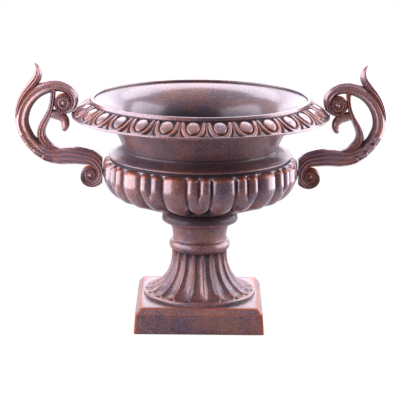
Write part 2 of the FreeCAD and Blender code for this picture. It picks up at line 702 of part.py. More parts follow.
def make_handle():
    seat = number("belly_radius") + number("seat_gap")
    middle_x = number("rim_radius") + number("scroll_out")
    middle_z = float(seat_height) + number("scroll_rise")
    ring = number("scroll_radius")
    thick, width, arm = number("strap_thick"), number("strap_width"), number("arm_thick")
    foot_x = seat + number("foot_volute_out")
    foot_z = float(bolt_level) - number("foot_volute_drop")
    head_x = middle_x - ring * 0.243
    head_z = middle_z + ring * 0.574

    # The main strap runs from the lower volute along the arm, round the big scroll and into the upper volute
    arm_z = middle_z - ring + 1.5
    lower = volute_stations(foot_x, foot_z, 90, 300, arm_z + arm / 2 - foot_z, arm * 0.95, width, 5)
    stations = list(reversed(lower))
    stations.append(((foot_x + middle_x) / 2, arm_z, arm, width))
    for degrees in (-90, -60, -30, 0, 30, 60):
        angle = math.radians(degrees)
        local = arm if degrees == -90 else thick
        stations.append((middle_x + ring * math.cos(angle), middle_z + ring * math.sin(angle), local, width))
    reach = math.hypot(middle_x - head_x, middle_z + ring - head_z) + thick / 2
    stations += volute_stations(head_x, head_z, 66, 290, reach, thick * 0.95, width * 0.9, 6)
    main = strap(stations)

    strut_thick, strut_width = number("strut_thick"), number("strut_width")
    strut = strap([
        (middle_x + ring * 0.16, middle_z - ring * 0.86, strut_thick * 1.5, strut_width),
        (middle_x + ring * 0.37, middle_z - ring * 0.63, strut_thick * 1.15, strut_width),
        (middle_x + ring * 0.45, middle_z - ring * 0.30, strut_thick, strut_width),
        (middle_x + ring * 0.32, middle_z + ring * 0.04, strut_thick, strut_width),
        (middle_x + ring * 0.14, middle_z + ring * 0.31, strut_thick * 1.1, strut_width),
        (middle_x + ring * 0.03, middle_z + ring * 0.80, strut_thick, strut_width),
    ])
    tip = number("leaf_height")
    leaf = strap([
        (middle_x + ring * 0.94, middle_z + ring * 0.36, thick * 0.7, width * 0.9),
        (middle_x + ring * 0.76, middle_z + ring * 0.87, thick * 0.85, width * 0.95),
        (middle_x + ring * 0.52, middle_z + tip * 0.75, thick * 0.75, width * 0.75),
        (middle_x + ring * 0.475, middle_z + tip * 0.885, thick * 0.5, width * 0.5),
        (middle_x + ring * 0.565, middle_z + tip, thick * 0.12, width * 0.15),
    ])
    drop = number("hook_drop")
    hook = strap([
        (middle_x + ring * 0.14, middle_z + ring * 0.30, strut_thick * 1.2, strut_width * 0.95),
        (middle_x - ring * 0.06, middle_z + ring * 0.30, strut_thick * 1.2, strut_width * 0.9),
        (middle_x - ring * 0.195, middle_z + ring * 0.165, strut_thick * 1.05, strut_width * 0.85),
        (middle_x - ring * 0.24, middle_z - drop * 0.15, strut_thick * 0.93, strut_width * 0.75),
        (middle_x - ring * 0.214, middle_z - drop * 0.68, strut_thick * 0.62, strut_width * 0.55),
        (middle_x - ring * 0.163, middle_z - drop * 1.05, strut_thick * 0.25, strut_width * 0.3),
    ])
    solid = main.fuse([strut, leaf, hook, volute_disc(foot_x, foot_z), volute_disc(head_x, head_z)])

    # Ground flat where it bears on the belly, relieved at the rim, and drilled for its bolt
    gap = number("seat_gap")
    depth = 2 * number("strap_width")
    block = Part.makeBox(seat, 2 * depth, 2 * ring + arm, Vector(0, -depth, foot_z - ring))
    rim = number("rim_radius") + gap
    foot = Vector(rim, 0, float(rim_base) - gap)
    edge = Vector(rim, 0, float(rim_base) + number("rim_edge") + gap)
    crown = Vector(float(lip_radius) + gap, 0, float(band_top) + gap)
    chord = crown - edge
    sag = number("band_curve") - math.sqrt(number("band_curve") ** 2 - chord.Length ** 2 / 4)
    top = (edge + crown) / 2 + Vector(chord.z, 0, -chord.x).normalize() * (sag + gap)
    inner = Vector(crown.x, 0, foot.z)
    band = Part.Wire([
        Part.makeLine(foot, edge),
        Part.Arc(edge, top, crown).toShape(),
        Part.makeLine(crown, inner),
        Part.makeLine(inner, foot),
    ])
    relief = Part.Face(band).revolve(Vector(), Vector(0, 0, 1), 360)
    hole = Part.makeCylinder(number("handle_bolt_size") / 2 + number("thread_gap"),
                             number("handle_bolt_grip") + 2,
                             Vector(seat, 0, float(bolt_level)), Vector(1, 0, 0))
    return solid.cut([block, relief, hole])


right_handle = doc.addObject("Part::Feature", "right_handle")
right_handle.Shape = make_handle()
right_handle.Label = "right_handle"
left_handle = doc.addObject("Part::Mirroring", "left_handle")
left_handle.Source = right_handle
left_handle.Normal = Vector(1, 0, 0)
left_handle.Label = "left_handle"

# Fasteners: one tie bolt up the middle, and one bolt for each handle from inside the bowl


def washer(label, radius, hole, thick):
    body = new_body(label)
    sketch = new_sketch(body, f"{label}_outline", "XY_Plane")
    circle(sketch, radius)
    circle(sketch, hole)
    extrude(body, "Pad", f"{label}_pad", sketch, thick)
    return body


def hex_bolt(label, thread, flats, cap, length):
    """A bolt with its head above the XY plane and its shank below."""
    body = new_body(label)
    head_sketch = new_sketch(body, f"{label}_head_outline", "XY_Plane")
    hexagon(head_sketch, flats)
    extrude(body, "Pad", f"{label}_head", head_sketch, cap)
    shank_sketch = new_sketch(body, f"{label}_shank_outline", "XY_Plane")
    circle(shank_sketch, thread / 2)
    shank = extrude(body, "Pad", f"{label}_shank", shank_sketch, length, reverse=True)
    doc.recompute()
    end = next(f"Edge{index}" for index, edge in enumerate(shank.Shape.Edges, 1)
               if abs(edge.BoundBox.ZMax + float(length)) < 1e-4)
    chamfer = body.newObject("PartDesign::Chamfer", f"{label}_end")
    chamfer.Base = (shank, [end])
    bind(chamfer, "Size", thread / 10)
    return body


def lift(body, height):
    bind(body, "Placement.Base.z", height)


tie_thread = size("tie_bolt_size")
tie_washer_hole = tie_thread / 2 + size("hole_gap")
tie_stack = 2 * size("tie_washer_thick") + size("floor_thick") + size("seat_plate")
tie_bolt = hex_bolt("tie_bolt", tie_thread, size("tie_bolt_head"), size("tie_bolt_cap"),
                    tie_stack + size("tie_nut_thick") + size("tie_tail"))
lift(tie_bolt, floor_top + size("tie_washer_thick"))
upper_washer = washer("tie_bolt_washer", size("tie_washer_radius"), tie_washer_hole, size("tie_washer_thick"))
lift(upper_washer, floor_top)
lower_washer = washer("tie_nut_washer", size("tie_washer_radius"), tie_washer_hole, size("tie_washer_thick"))
plate_underside = seat_height - size("seat_plate")
lift(lower_washer, plate_underside - size("tie_washer_thick"))
tie_nut = new_body("tie_nut")
nut_sketch = new_sketch(tie_nut, "tie_nut_outline", "XY_Plane")
hexagon(nut_sketch, size("tie_bolt_head"))
circle(nut_sketch, tie_thread / 2 + size("thread_gap"))
extrude(tie_nut, "Pad", "tie_nut_pad", nut_sketch, size("tie_nut_thick"))
lift(tie_nut, plate_underside - size("tie_washer_thick") - size("tie_nut_thick"))

handle_thread = size("handle_bolt_size")
bolt_reach = size("handle_washer_thick") + size("belly_radius") + size("seat_gap") - washer_seat
parts = [bowl, pedestal, left_handle, right_handle, tie_bolt, upper_washer, lower_washer, tie_nut]
for side, sign in (("left", -1), ("right", 1)):
    bolt = hex_bolt(f"{side}_handle_bolt", handle_thread, size("handle_bolt_head"),
                    size("handle_bolt_cap"), bolt_reach + size("handle_bolt_grip"))
    ring = washer(f"{side}_handle_washer", size("handle_washer_radius"),
                  handle_thread / 2 + size("hole_gap"), size("handle_washer_thick"))
    turn = FreeCAD.Rotation(Vector(0, 1, 0), -90 * sign)
    for body, distance in ((bolt, washer_seat - size("handle_washer_thick")), (ring, washer_seat)):
        body.Placement = FreeCAD.Placement(Vector(), turn)
        bind(body, "Placement.Base.x", sign * distance)
        bind(body, "Placement.Base.z", bolt_level)
        parts.append(body)

doc.recompute()
for item in doc.Objects:
    if "Invalid" in item.State or "Error" in item.State:
        raise RuntimeError(f"{item.Label} did not rebuild: {item.State}")
os.makedirs("parts", exist_ok=True)
for item in parts:
    shape = item.Shape
    if shape.isNull() or not shape.isValid():
        raise RuntimeError(f"{item.Label} is not a valid solid")
    shape.exportStep(f"parts/{item.Label}.step")
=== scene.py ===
import math

import bpy
import numpy as np
from mathutils import Matrix, Vector
from mathutils.geometry import delaunay_2d_cdt


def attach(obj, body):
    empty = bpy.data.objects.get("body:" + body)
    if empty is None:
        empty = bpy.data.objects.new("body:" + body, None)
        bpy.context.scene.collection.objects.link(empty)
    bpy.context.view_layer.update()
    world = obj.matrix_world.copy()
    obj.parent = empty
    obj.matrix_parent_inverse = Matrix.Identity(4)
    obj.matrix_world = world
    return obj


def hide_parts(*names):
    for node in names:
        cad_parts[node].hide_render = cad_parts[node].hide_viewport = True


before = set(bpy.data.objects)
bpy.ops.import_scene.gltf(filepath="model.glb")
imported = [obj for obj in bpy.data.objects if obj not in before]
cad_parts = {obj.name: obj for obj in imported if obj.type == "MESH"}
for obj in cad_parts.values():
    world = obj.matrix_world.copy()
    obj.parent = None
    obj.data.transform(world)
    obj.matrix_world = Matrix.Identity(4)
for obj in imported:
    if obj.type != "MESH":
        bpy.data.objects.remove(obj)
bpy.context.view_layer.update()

# Sizes are in millimetres and become metres in the meshes. Degrees round the axis start at the front.

MM = 0.001
TINY = 1e-9

# Heights and radii that the castings share
SEAT = 113.0
BELLY_RADIUS = 99.0
RIM_RADIUS = 130.0
RIM_BASE = 211.0
RIM_EDGE_TOP = RIM_BASE + 2.6
BAND_TOP = 226.4
LIP_RADIUS = 110.3

# Holes through the bowl's floor and the pedestal's top plate, and the steps round each circle
TIE_HOLE = 5.4
DRAINS = 3
DRAIN_CIRCLE = 16.5
DRAIN_RADIUS = 3.0
PLATE_STEPS = 96
TIE_HOLE_STEPS = 40
DRAIN_STEPS = 28
SAME_POINT = 1e-5

# A section: the step between its samples, the bend that calls for a row, and how sharp a squared corner is
SAMPLE = 0.35
ROW_BEND = math.radians(9)
SQUARE_POWER = 70.0


def smooth_step(low, high, value):
    """Rises smoothly from 0 at low to 1 at high."""
    part = np.clip((value - low) / (high - low), 0.0, 1.0)
    return part * part * (3.0 - 2.0 * part)


def wrapped(degrees, pitch, first):
    """Signed distance in degrees to the nearest of evenly spaced places."""
    return (degrees - first + pitch / 2) % pitch - pitch / 2


def round_the_axis(turns):
    """Evenly spaced places round the axis, as one row."""
    return (np.arange(turns) * 360.0 / turns)[None, :]


def distance_along(points):
    """How far each point lies along a line, by its first two columns."""
    steps = np.linalg.norm(np.diff(points[:, :2], axis=0), axis=1)
    return np.concatenate([[0], np.cumsum(steps)])


def blur_line(values, width):
    """Softens samples along a line and keeps both ends."""
    reach = int(3 * width) + 1
    kernel = np.exp(-0.5 * (np.arange(-reach, reach + 1) / width) ** 2)
    kernel /= kernel.sum()
    padded = np.pad(values, ((reach, reach), (0, 0)), mode="edge")
    columns = [np.convolve(padded[:, k], kernel, mode="valid") for k in range(values.shape[1])]
    soft = np.stack(columns, axis=1)
    soft[0], soft[-1] = values[0], values[-1]
    return soft


class Profile:
    """Half of a turned section, walked from point to point. Each sample holds a radius, a height and how
    square it is, and belongs to a named zone."""

    def __init__(self, radius, height, zone="plain"):
        self.samples = [(radius, height, 0.0)]
        self.zones = [zone]
        self.zone = zone

    def add(self, points):
        self.samples += points
        self.zones += [self.zone] * len(points)

    def line(self, radius, height, square=None):
        start = np.array(self.samples[-1])
        end = np.array([radius, height, start[2] if square is None else square])
        steps = max(2, math.ceil(np.linalg.norm((end - start)[:2]) / SAMPLE))
        self.add([tuple(start + (end - start) * k / steps) for k in range(1, steps + 1)])
        return self

    def arc(self, radius, height, curve):
        """An arc to a point. Its centre is on the left of the walk when the curve is positive."""
        start = np.array(self.samples[-1][:2])
        end = np.array([radius, height])
        chord = end - start
        length = np.linalg.norm(chord)
        left = np.array([-chord[1], chord[0]]) / length * math.copysign(1, curve)
        centre = (start + end) / 2 + left * math.sqrt(curve ** 2 - length ** 2 / 4)
        first = math.atan2(*(start - centre)[::-1])
        sweep = 2 * math.asin(length / 2 / abs(curve)) * math.copysign(1, curve)
        steps = max(2, math.ceil(abs(sweep * curve) / SAMPLE))
        square = self.samples[-1][2]
        points = []
        for k in range(1, steps + 1):
            angle = first + sweep * k / steps
            across = centre[0] + abs(curve) * math.cos(angle)
            up = centre[1] + abs(curve) * math.sin(angle)
            points.append((across, up, square))
        self.add(points)
        return self

    def enter(self, zone):
        self.zone = zone
        return self

    def rows(self, softness, spacing):
        """Rows picked where the softened section bends, and no further apart than a zone's spacing. Returns
        samples, outward normals, zone names and the distance walked inside each zone."""
        line = blur_line(np.array(self.samples), softness / SAMPLE)
        tangent = np.gradient(line[:, :2], axis=0)
        tangent /= np.linalg.norm(tangent, axis=1)[:, None] + TINY
        heading = np.unwrap(np.arctan2(tangent[:, 1], tangent[:, 0]))
        walked = distance_along(line)
        inside = np.zeros(len(line))
        start = 0
        for k in range(1, len(line)):
            if self.zones[k] != self.zones[k - 1]:
                start = k - 1
            inside[k] = walked[k] - walked[start]
        picked = [0]
        for k in range(1, len(line) - 1):
            far = walked[k] - walked[picked[-1]] >= spacing[self.zones[k]]
            bent = abs(heading[k] - heading[picked[-1]]) >= ROW_BEND
            if far or bent:
                picked.append(k)
        picked.append(len(line) - 1)
        normal = np.stack([tangent[:, 1], -tangent[:, 0]], axis=1)
        zones = np.array(self.zones)
        return line[picked], normal[picked], zones[picked], inside[picked]


def by_zone(zones, values, otherwise):
    """One value for each row of a section, from the values of its zones."""
    return np.array([values.get(zone, otherwise) for zone in zones], dtype=float)


def turned_grid(samples, normals, relief):
    """Points of a turned surface: rows along the section by steps round the axis."""
    angle = np.radians(round_the_axis(relief.shape[1]))
    sides = np.abs(np.sin(angle)) ** SQUARE_POWER + np.abs(np.cos(angle)) ** SQUARE_POWER
    corner = sides ** (-1 / SQUARE_POWER)
    squared = 1 + samples[:, 2:3] * (corner - 1)
    radius = samples[:, 0:1] * squared + relief * normals[:, 0:1]
    height = samples[:, 1:2] + relief * normals[:, 1:2]
    return np.stack([radius * np.sin(angle), -radius * np.cos(angle), height + 0 * angle], axis=2)


def grid_normals(grid):
    """Normals of a grid that is closed round its second axis."""
    along = np.roll(grid, -1, 0) - np.roll(grid, 1, 0)
    along[0] = grid[1] - grid[0]
    along[-1] = grid[-1] - grid[-2]
    around = np.roll(grid, -1, 1) - np.roll(grid, 1, 1)
    normal = np.cross(around, along)
    return normal / (np.linalg.norm(normal, axis=2)[:, :, None] + TINY)


def softened(grid, passes):
    """Moves each point of a grid towards its neighbours, again and again."""
    for _ in range(passes):
        along = (np.vstack([grid[:1], grid[:-1]]) + np.vstack([grid[1:], grid[-1:]])) / 2
        along[0], along[-1] = grid[0], grid[-1]
        across = (np.roll(grid, 1, 1) + np.roll(grid, -1, 1)) / 2
        grid = (along + across + 2 * grid) / 4
    return grid


def standing_proud(grid, near, far):
    """How far each point of a grid stands over its close and its wider surroundings, in millimetres. Near and
    far are passes of softening."""
    normal = grid_normals(grid)
    close = softened(grid, near)
    wide = softened(close, far)
    return ((grid - close) * normal).sum(axis=2), ((grid - wide) * normal).sum(axis=2)


class Casting:
    """Collects grids of points into one mesh. Each point also holds how far it stands proud of what is close
    to it, how high it lies among what is further round it less the painted shade that darkens it, and how
    matt it is."""

    def __init__(self, name):
        self.name = name
        self.points = []
        self.faces = []
        self.proud = []
        self.depth = []
        self.matt = []
        self.total = 0

    def append(self, points, faces, proud, depth, matt):
        self.points.append(points)
        self.faces += [tuple(self.total + index for index in face) for face in faces]
        self.proud.append(proud)
        self.depth.append(depth)
        self.matt.append(matt)
        self.total += len(points)

    def grid(self, grid, near, far, wear_and_shade=None, painted_shade=None, matt=None):
        """A grid that is closed round its second axis. The wear and shade scale multiplies the wear and the
        painted
            shade of its rows, the painted shade darkens its points as if they lay that much deeper, or paints
            light on them where it is negative, and matt dulls its rows."""
        rows, steps = grid.shape[:2]
        index = np.arange(rows * steps).reshape(rows, steps)
        following = np.roll(index, -1, axis=1)
        quads = np.stack([index[:-1], following[:-1], following[1:], index[1:]], axis=2).reshape(-1, 4)
        proud, depth = standing_proud(grid, near, far)
        # The scale of wear also scales the painted shade that comes from the form
        if wear_and_shade is not None:
            proud = proud * wear_and_shade[:, None]
            depth = depth * wear_and_shade[:, None]
        # Painted shade, and painted light where it is negative, carried in the depth attribute
        if painted_shade is not None:
            depth = depth - painted_shade.reshape(rows, -1)
        dull = np.repeat(np.zeros(rows) if matt is None else matt, steps)
        self.append(grid.reshape(-1, 3), quads.tolist(), proud.ravel(), depth.ravel(), dull)

    def mesh(self, mirror=False):
        points = np.concatenate(self.points) * MM
        faces = self.faces
        if mirror:
            points = points * np.array([-1.0, 1.0, 1.0])
            faces = [face[::-1] for face in faces]
        data = bpy.data.meshes.new(self.name)
        data.from_pydata(points.tolist(), [], faces)
        for label, values in (("proud", self.proud), ("depth", self.depth), ("matt", self.matt)):
            attribute = data.attributes.new(label, "FLOAT", "POINT")
            attribute.data.foreach_set("value", np.concatenate(values).astype(np.float32))
        data.shade_smooth()
        data.update()
        piece = bpy.data.objects.new(self.name, data)
        bpy.context.collection.objects.link(piece)
        return piece


def drilled_floor(casting, outer, top, bottom):
    """A level plate with the tie bolt's hole and the drain holes."""
    circles = [(0.0, 0.0, outer, PLATE_STEPS), (0.0, 0.0, TIE_HOLE, TIE_HOLE_STEPS)]
    for k in range(DRAINS):
        angle = math.radians(360 / DRAINS * k)
        x, y = DRAIN_CIRCLE * math.sin(angle), -DRAIN_CIRCLE * math.cos(angle)
        circles.append((x, y, DRAIN_RADIUS, DRAIN_STEPS))
    flat = []
    edges = []
    rings = []
    for x, y, radius, count in circles:
        first = len(flat)
        ring = []
        for k in range(count):
            angle = 2 * math.pi * k / count
            flat.append(Vector((x + radius * math.cos(angle), y + radius * math.sin(angle))))
            edges.append((first + k, first + (k + 1) % count))
            ring.append(first + k)
        rings.append(ring)
    points, _, triangles, origin, _, _ = delaunay_2d_cdt(flat, edges, [], 0, SAME_POINT)
    kept = []
    for triangle in triangles:
        middle = sum((points[k] for k in triangle), Vector((0, 0))) / 3
        in_hole = any((middle - Vector((x, y))).length < radius for x, y, radius, _ in circles[1:])
        if not in_hole and middle.length < outer:
            kept.append(tuple(triangle))
    place = {source: k for k, sources in enumerate(origin) for source in sources}
    even = np.zeros(len(points))
    for height, faces in ((top, kept), (bottom, [face[::-1] for face in kept])):
        level = np.array([(p.x, p.y, height) for p in points])
        casting.append(level, faces, even, even, even)
    for ring in rings[1:]:
        loop = np.array([(*points[place[k]], 0.0) for k in ring])
        wall = np.stack([loop + (0, 0, bottom), loop + (0, 0, top)])
        casting.grid(wall[:, ::-1], 0, 0)


# Bowl: gadrooned belly, neck and egg and dart rim

BOWL_TURNS = 960
BOWL_SOFTNESS = 0.55
BOWL_SURROUNDINGS = (9, 60)
WALL = 5.5

# The boss under the floor, the slope out from it, and the belly between the lobes
FLOOR_EDGE = 24.0
BOSS_RADIUS = 33.0
BOSS_TOP = SEAT + 3
SLOPE = math.radians(18)
SLOPE_FOOT = 36.0
TURN_CENTRE = 76.0
BELLY_HEIGHT = 150.0
LOBE_RISE = 5.8
LOBE_TOP = 166.6
VALLEY = BELLY_RADIUS - LOBE_RISE
VALLEY_TURN = VALLEY - TURN_CENTRE
VALLEY_HEIGHT = BELLY_HEIGHT + 0.8
VALLEY_CURVE = 26.0
VALLEY_TOP = VALLEY - 1.0

# Groove, cove and neck over the lobes, as radius and height
GROOVE_RADIUS = 90.8
GROOVE_FOOT = LOBE_TOP + 0.8
GROOVE_TOP = 168.9
LEDGE = (92.2, 169.6)
LEDGE_TOP = (91.4, 171.6)
LEDGE_CURVE = 1.3
COVE_FOOT = (90.2, 171.9)
COVE_TOP = (79.4, 177.8)
COVE_CURVE = 12.5
COVE_EDGE = (79.2, 179.2)
COVE_EDGE_CURVE = 0.9
WAIST = (78.5, 179.6)
NECK_TOP = (106.3, 219.9)
NECK_CURVE = 94.0

# Rim, band and lip
RIM_UNDERSIDE = 126.5
RIM_SIDE_TOP = RIM_BASE + 1.7
BAND_FOOT = 129.0
BAND_END = (LIP_RADIUS + 0.4, BAND_TOP - 0.6)
BAND_CURVE = 60.0
LIP_FOOT = 227.6
LIP_TOP = (108.9, 229.0)
LIP_CURVE = 1.4
LIP_INSIDE = (107.2, 227.4)
LIP_INSIDE_CURVE = 1.7
LIP_END = (106.9, 226.0)

# The inside, from the mouth down to the floor
MOUTH = (104.8, 225.7)
MOUTH_CURVE = 41.5
THROAT = 74.2
THROAT_TOP = 190.0
THROAT_FOOT = 180.0
INNER_TOP = 162.0
INNER_CURVE = 13.0
FLOOR_SLOPE_TOP = 137.0
FLOOR_SLOPE_FOOT = 31.0
FLOOR_TOP = 123.0

# Lobes: wide and double ones in turn. Halves are in degrees, and spans are distances below the lobes' tops.
LOBE_PAIRS = 12
LOBE_TURN = -0.7
LOBE_HALF = 7.45
LOBE_CREASE = 1.15
LOBES_FADE = (75, 84)
WIDE_LOSS = 1.2
WIDE_NARROWS = (34, 66)
WIDE_ROUND = 2.0
WIDE_DROOP = 2.4
WIDE_END = 5.0
DOUBLE_RISE = 0.95
DOUBLE_LOSS = 0.85
DOUBLE_NARROWS = (26, 70)
DOUBLE_JOINS = (15.5, 25)
RIDGE_ROUND = 2.0
RIDGE_DROOP = 1.8
RIDGE_END = 4.0
JOINED_ROUND = 1.7

# Eggs and darts: halves are in degrees, and spans are parts of the band or of an egg's own size
EGGS = 29
EGG_TURN = -3.4
EGG_DEPTH = 2.2
EGG_MIDDLE = 0.57
EGG_HALF = 3.2
EGG_WIDENS = 0.8
EGG_LENGTH = 0.4
EGG_SIDE = (0.84, 1.04)
EGG_FLAT = 0.8
FRAME_RISE = 1.7
FRAME_INSIDE = (1.14, 1.25)
FRAME_OUTSIDE = (1.62, 1.74)
FRAME_ENDS = (0.95, 1.0)
DART_RISE = 1.15
DART_HALF = 0.42
DART_SPREAD = 1.5
DART_SPREADS = (0.02, 0.3)
DART_SIDE = (0.55, 1.0)
DART_FOOT = (0.0, 0.06)
FILLET_RISE = 0.9
LOWER_FILLET = (0.0, 0.07)
UPPER_FILLET = (0.93, 1.0)

# The bowl's zones: greatest gap between rows, the scale of wear and of painted shade, painted shade
# (painted light where negative), and how matt
BOWL_SPACING = {
    "boss": 3.0, "lobes": 1.5, "groove": 1.0, "shoulder": 3.0, "neck": 3.0, "edge": 3.0, "band": 0.62,
    "lip": 1.0, "inside": 5.0,
}
BOWL_WEAR_AND_SHADE = {"lobes": 0.62, "band": 1.5, "lip": 1.6, "inside": 0.0}
BOWL_SHADE = {"boss": 2.0, "groove": 1.6, "shoulder": -0.4, "neck": -0.1, "band": 0.75, "lip": -0.8}
BOWL_MATT = {"groove": 0.45, "shoulder": 0.45, "neck": 0.2}
# Painted shade under the lobes, and inside the bowl growing deeper towards the floor
UNDER_SHADE = 1.6
UNDER_SPAN = (48, 66)
MOUTH_SHADE = 0.6
DEEP_SHADE = 1.1
DEEP_SPAN = (188, 214)


def bowl_profile():
    """From the boss up the outside, over the lip and down the inside to the floor."""
    turn_end = TURN_CENTRE + VALLEY_TURN * math.sin(SLOPE)
    turn_foot = BELLY_HEIGHT - VALLEY_TURN * math.cos(SLOPE)
    slope_height = turn_foot - (turn_end - SLOPE_FOOT) * math.tan(SLOPE)
    inner = VALLEY - WALL
    walk = Profile(FLOOR_EDGE, SEAT, "boss")
    walk.line(BOSS_RADIUS, SEAT).line(BOSS_RADIUS, BOSS_TOP).line(SLOPE_FOOT, slope_height)
    walk.enter("lobes").line(turn_end, turn_foot)
    walk.arc(VALLEY, VALLEY_HEIGHT, VALLEY_CURVE).line(VALLEY_TOP, LOBE_TOP)
    walk.enter("groove").line(GROOVE_RADIUS, GROOVE_FOOT).line(GROOVE_RADIUS, GROOVE_TOP).line(*LEDGE)
    walk.enter("shoulder").arc(*LEDGE_TOP, LEDGE_CURVE).line(*COVE_FOOT)
    walk.arc(*COVE_TOP, -COVE_CURVE).arc(*COVE_EDGE, COVE_EDGE_CURVE)
    walk.enter("neck").line(*WAIST).arc(*NECK_TOP, -NECK_CURVE).line(RIM_UNDERSIDE, RIM_BASE)
    walk.enter("edge").line(RIM_RADIUS, RIM_BASE).line(RIM_RADIUS, RIM_SIDE_TOP).line(BAND_FOOT, RIM_EDGE_TOP)
    walk.enter("band").arc(*BAND_END, BAND_CURVE)
    walk.enter("lip").line(LIP_RADIUS, LIP_FOOT).arc(*LIP_TOP, LIP_CURVE)
    walk.arc(*LIP_INSIDE, LIP_INSIDE_CURVE).line(*LIP_END)
    walk.enter("inside").line(*MOUTH).arc(THROAT, THROAT_TOP, MOUTH_CURVE).line(THROAT, THROAT_FOOT)
    walk.line(inner, INNER_TOP).line(inner, BELLY_HEIGHT).arc(TURN_CENTRE, FLOOR_SLOPE_TOP, -INNER_CURVE)
    walk.line(FLOOR_SLOPE_FOOT, FLOOR_TOP).line(FLOOR_EDGE, FLOOR_TOP)
    return walk


def rounded(part, power):
    """The height of a soft-sided lobe from its middle at 0 to its edge at 1."""
    return np.sqrt(np.clip(1 - np.clip(np.abs(part), 0, 1) ** power, 0, 1))


def quarter_round(below, size):
    """Rises from 0 to 1 over a size, as a rounded edge does."""
    return np.sqrt(np.clip(1 - (1 - np.clip(below / size, 0, 1)) ** 2, 0, 1))


def lobe_relief(degrees, below):
    """Wide lobes and double ones, by the distance below their tops."""
    pitch = 360 / LOBE_PAIRS
    wide_half = LOBE_HALF - WIDE_LOSS * smooth_step(*WIDE_NARROWS, below)
    double_half = LOBE_HALF * (1 - DOUBLE_LOSS * smooth_step(*DOUBLE_NARROWS, below))
    ridge = double_half / 2
    wide_at = wrapped(degrees, pitch, LOBE_TURN + pitch / 2) / wide_half
    double_at = np.abs(wrapped(degrees, pitch, LOBE_TURN))
    ridge_at = (double_at - ridge) / ridge
    wide = rounded(wide_at, WIDE_ROUND) ** LOBE_CREASE
    wide = wide * quarter_round(below - WIDE_DROOP * np.abs(wide_at) ** 3, WIDE_END)
    pair = DOUBLE_RISE * rounded(ridge_at, RIDGE_ROUND) ** LOBE_CREASE
    pair = pair * quarter_round(below - RIDGE_DROOP * ridge_at ** 2, RIDGE_END)
    single = DOUBLE_RISE * rounded(double_at / double_half, JOINED_ROUND) ** LOBE_CREASE
    joined = smooth_step(*DOUBLE_JOINS, below)
    double = pair * (1 - joined) + single * joined
    return LOBE_RISE * np.maximum(wide, double) * (1 - smooth_step(*LOBES_FADE, below))


def egg_relief(degrees, part):
    """Eggs in raised frames with darts between them, by the part of the band from its bottom edge."""
    pitch = 360 / EGGS
    side = wrapped(degrees, pitch, EGG_TURN)
    from_dart = np.abs(wrapped(degrees, pitch, EGG_TURN + pitch / 2))
    half = EGG_HALF + EGG_WIDENS * (part - EGG_MIDDLE)
    away = np.sqrt((side / half) ** 2 + ((part - EGG_MIDDLE) / EGG_LENGTH) ** 2)
    dome = EGG_FLAT + (1 - EGG_FLAT) * np.clip(1 - away ** 2, 0, 1)
    egg = EGG_DEPTH * dome * (1 - smooth_step(*EGG_SIDE, away))
    frame_at = np.where(part > EGG_MIDDLE, np.abs(side) / half, away)
    border = FRAME_RISE * smooth_step(*FRAME_INSIDE, frame_at) * (1 - smooth_step(*FRAME_OUTSIDE, frame_at))
    border = border * (1 - smooth_step(*FRAME_ENDS, part))
    dart_half = DART_HALF + DART_SPREAD * (1 - smooth_step(*DART_SPREADS, part))
    dart = DART_RISE * (1 - smooth_step(*DART_SIDE, from_dart / dart_half)) * smooth_step(*DART_FOOT, part)
    fillets = FILLET_RISE * (1 - smooth_step(*LOWER_FILLET, part) + smooth_step(*UPPER_FILLET, part))
    return np.maximum.reduce([egg, border, dart, fillets + 0 * side]) - EGG_DEPTH


def make_bowl():
    samples, normals, zones, inside = bowl_profile().rows(BOWL_SOFTNESS, BOWL_SPACING)
    degrees = round_the_axis(BOWL_TURNS)
    relief = np.zeros((len(samples), BOWL_TURNS))
    lobes = zones == "lobes"
    below = inside[lobes].max() - inside[lobes]
    relief[lobes] = lobe_relief(degrees, below[:, None])
    band = zones == "band"
    relief[band] = egg_relief(degrees, inside[band][:, None] / inside[band].max())
    # Painted shade by zone, painted light where it is negative, then under the lobes and inside the bowl
    painted_shade = by_zone(zones, BOWL_SHADE, 0.0)
    painted_shade[lobes] = UNDER_SHADE * smooth_step(*UNDER_SPAN, below)
    hollow = zones == "inside"
    painted_shade[hollow] = MOUTH_SHADE + DEEP_SHADE * (1 - smooth_step(*DEEP_SPAN, samples[hollow, 1]))
    wear_and_shade = by_zone(zones, BOWL_WEAR_AND_SHADE, 1.0)
    matt = by_zone(zones, BOWL_MATT, 0.0)
    casting = Casting("bowl_casting")
    casting.grid(turned_grid(samples, normals, relief), *BOWL_SURROUNDINGS, wear_and_shade, painted_shade, matt)
    drilled_floor(casting, FLOOR_EDGE, FLOOR_TOP, SEAT)
    return casting.mesh()


# Pedestal: square plinth, round foot, fluted trumpet, ring bead and disc

PEDESTAL_TURNS = 760
PEDESTAL_SOFTNESS = 0.35
PEDESTAL_SURROUNDINGS = (7, 40)

# The hollow underneath and the plinth, as half widths and heights
PLATE_FOOT = SEAT - 8
BORE = 21.5
BORE_FOOT = 58.0
HOLLOW_MIDDLE = (38.0, 33.0)
HOLLOW_FOOT = 46.4
PLINTH_TOP = 25.7
PLINTH_CEILING = PLINTH_TOP - 6.0
PLINTH_INSIDE = 59.2
PLINTH_HALF = 65.2
PLINTH_SHOULDER = (63.75, 20.2)
PLINTH_EDGE = 58.7
PLINTH_LEVEL = 57.9

